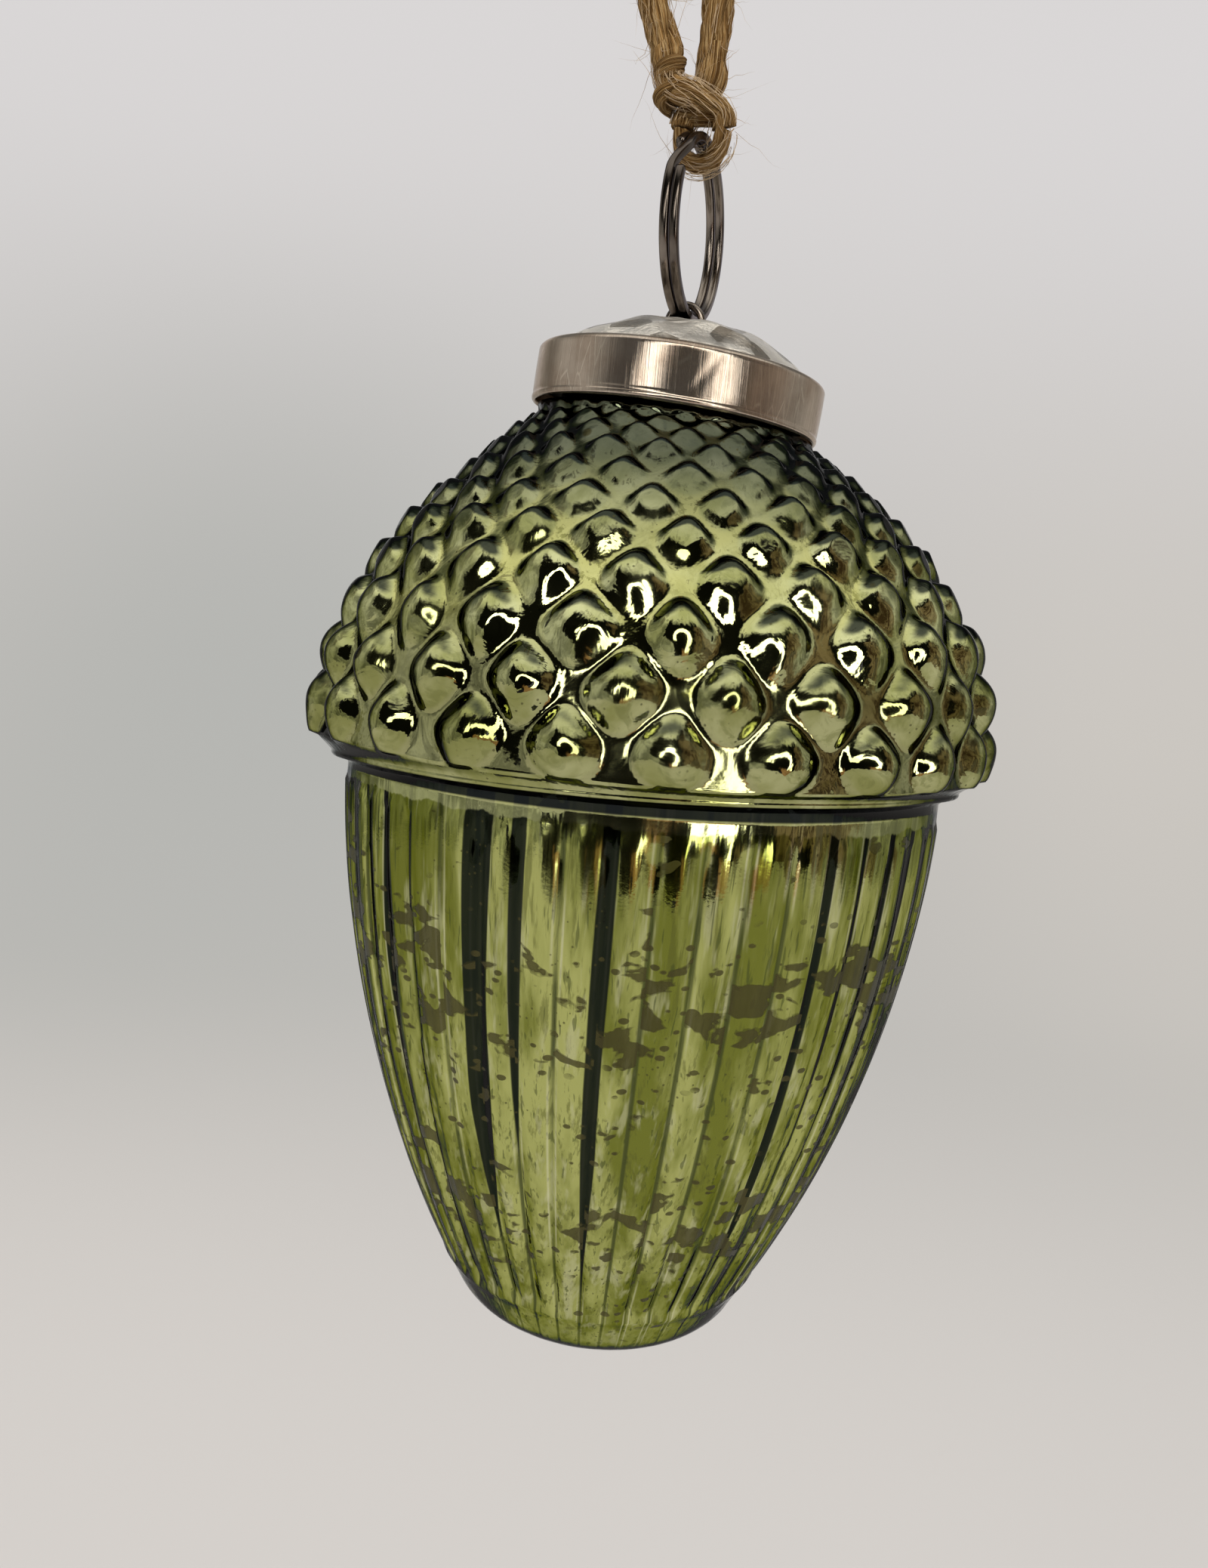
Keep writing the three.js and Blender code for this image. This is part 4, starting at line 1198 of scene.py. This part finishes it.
def dress_cement():
    cement = Finish("dark_cement", roughness=0.95)
    grain = cement.noise(cement.place(), 1500, 4, 0.7)
    # The cement bead is a real part; its near-black colour is painted shade under the band's lower edge.
    cement.wear("Base Color", cement.tint(grain, (0.05, 0.045, 0.04), (0.13, 0.12, 0.1)))
    cement.wear("Normal", cement.relief(grain, 0.0003))
    node = frame["nodes"]["cap_cement"]
    node.data.materials.clear()
    node.data.materials.append(cement.material)


# Studio


def make_backdrop():
    """A pale floor that curves up into a wall behind, painted with light and shade: lighter towards the top of the
    wall and the front of the floor, a painted shadow left of the middle and a painted pool of light on the right.
    """
    line = [(-0.75, -0.42), (-0.3, -0.42), (0.2, -0.42)]
    bend = np.linspace(0, math.pi / 2, 16)
    line += [(0.75 + 0.5 * math.sin(a), 0.08 - 0.5 * math.cos(a)) for a in bend]
    line += [(1.25, 0.3), (1.25, 0.58)]
    across = np.linspace(-1, 1, 9)
    rows = [[(x * 1000, y * 1000, z * 1000) for x in across] for y, z in line]
    backdrop = surface("paper_sweep", rows, False)
    paper = Finish("warm_white_paper", roughness=0.9, specular_ior_level=0.1)
    x, y, z = paper.axes(paper.place())
    # Painted light: the wall lighter towards its top, and the floor lighter towards the front.
    colour = paper.tint(paper.step(z, -0.34, 0.5), (0.52, 0.505, 0.48), (0.7, 0.68, 0.68))
    colour = paper.tint(paper.step(y, 0.8, 0.2), colour, (0.63, 0.6, 0.575))
    # A painted shadow left of the middle, and a painted pool of light on the right.
    middle = paper.between(z, -0.5, 0.05, 0.3) * paper.step(y, 0.35, 0.9)
    shade = middle * (1 - paper.step(abs(x + 0.42), 0.02, 0.55))
    colour = paper.tint(shade * 0.85, colour, (0.455, 0.46, 0.44))
    painted_light_pool = middle * paper.step(x, 0.1, 0.5)
    colour = paper.tint(painted_light_pool * 0.5, colour, (0.66, 0.62, 0.57))
    paper.wear("Base Color", colour)
    kinds = ("Camera", "Glossy", "Transmission")
    rays = [paper.add("ShaderNodeLightPath", output=f"Is {kind} Ray") for kind in kinds]
    seen = rays[0] + rays[1] + rays[2]
    glow = paper.add("ShaderNodeEmission", {}, {"Color": colour, "Strength": 1.0})
    shaded = Wire(paper, paper.shader.outputs[0])
    share = 0.97 - 0.25 * paper.step(y, 0.9, 0.3)
    both = paper.add("ShaderNodeMixShader", {}, [seen * share, shaded, glow])
    paper.join(paper.tree.nodes["Material Output"].inputs["Surface"], both)
    backdrop.data.materials.append(paper.material)
    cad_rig.stage(backdrop)


def make_room():
    """What the silver mirrors: a white tent, open in front to a dark room with a ring lamp."""
    world = bpy.data.worlds.new("room")
    bpy.context.scene.world = world
    world.use_nodes = True
    room = Graph(world.node_tree)
    way = room.add("ShaderNodeTexCoord", output="Generated")
    x, y, z = room.axes(way)
    ragged = room.noise(way, 6, 5, 0.6) - 0.5
    turn = room.bearing(x, 0 - y) * DEGREES
    rise = room.add("ShaderNodeMath", {"operation": "ARCSINE"}, [z]) * DEGREES
    drifting, rising = turn + 30 * ragged, rise + 24 * ragged
    dot = {"operation": "DOT_PRODUCT"}
    toward = room.add("ShaderNodeVectorMath", dot, [way, RING_LAMP], "Value")
    off = room.add("ShaderNodeMath", {"operation": "ARCCOSINE"}, [toward]) * DEGREES
    about = room.bearing(z - RING_LAMP[2], x - RING_LAMP[0]) * DEGREES

    folds = room.step(room.noise(room.stretched(way, 0.7), 2.6, 4, 0.6, 1.0), 0.36, 0.64)
    wall = room.tint(folds, (0.2, 0.2, 0.18), (0.62, 0.61, 0.58))
    wall = room.tint(room.step(rise + 20 * ragged, 34.0, 52.0) * 0.85, wall, (1.15, 1.13, 1.06))
    smudge = room.step(room.noise(way, 5, 3, 0.5, 0.8), 0.6, 0.66) * room.step(rise, 25.0, 40.0)
    wall = room.tint(smudge * 0.6, wall, (0.16, 0.13, 0.12))
    above = room.step(y, 0.05, 0.4) * room.step(rise, 24.0, 34.0)
    wall = room.tint(above * 0.85, wall, (0.07, 0.085, 0.095))
    high = room.step(rise, -12.0, 8.0)
    sideways = abs(turn - 17 + 10 * high) + 30 * ragged
    edge = 1 - room.step(sideways - 41 - 24 * high, 0.0, 6.0)
    mouth = edge * room.between(rising, -27.0, 52.0, 5.0)
    wall = room.tint(mouth, wall, (0.006, 0.006, 0.005))
    curtain = room.between(drifting, 52.0, 90.0, 5.0) * room.between(rising, -26.0, 42.0, 5.0)
    cloth = room.step(room.noise(room.stretched(way, 0.3), 9, 3, 0.6), 0.4, 0.6)
    wall = room.tint(curtain * 0.85, wall, room.tint(cloth, (0.06, 0.035, 0.02), (0.3, 0.22, 0.15)))
    lamp = room.between(off + 3 * ragged, 22.0, 33.0, 0.7)
    lamp = lamp * (1 - room.between(about, -174.0, -62.0, 5.0))
    wall = room.tint(lamp, wall, (5.0, 4.9, 4.6))
    brown = room.between(drifting, 5.0, 34.0, 3.0) * room.between(rising, -36.0, -13.0, 2.0)
    wall = room.tint(brown, wall, (0.5, 0.27, 0.16))
    seen = room.add("ShaderNodeLightPath", output="Is Camera Ray")
    wall = room.tint(seen, wall, (0.62, 0.605, 0.59))
    shade = world.node_tree.nodes["Background"]
    room.join(shade.inputs["Color"], wall)
    room.join(shade.inputs["Strength"], 1.0)


def make_lamps():
    for name, place, size, watts in (
        ("key", (-0.55, -0.5, 0.45), 0.5, 5.0),
        ("fill", (0.7, -0.4, 0.1), 0.6, 2.5),
        ("top", (0.05, 0.1, 0.75), 0.7, 4.0),
    ):
        lamp = bpy.data.lights.new(name, "AREA")
        lamp.shape = "DISK"
        lamp.size = size
        lamp.energy = watts
        rig = put(name, lamp)
        rig.location = place
        aim = Vector((0, 0, -0.13)) - rig.location
        rig.rotation_euler = aim.to_track_quat("-Z", "Y").to_euler()
        rig.visible_glossy = False


make_camera()
make_twine()
gunmetal = steel_finish()
make_split_ring(gunmetal)
make_eyelet(gunmetal)
make_band()
make_dome()
make_glass()
dress_cement()
make_backdrop()
make_room()
make_lamps()

bpy.context.scene.view_settings.view_transform = "Standard"

with open("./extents.json", "w") as sizes:
    json.dump({"cad": [list(c) for c in cad_box], "visual": [list(c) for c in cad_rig.bounds()]}, sizes)
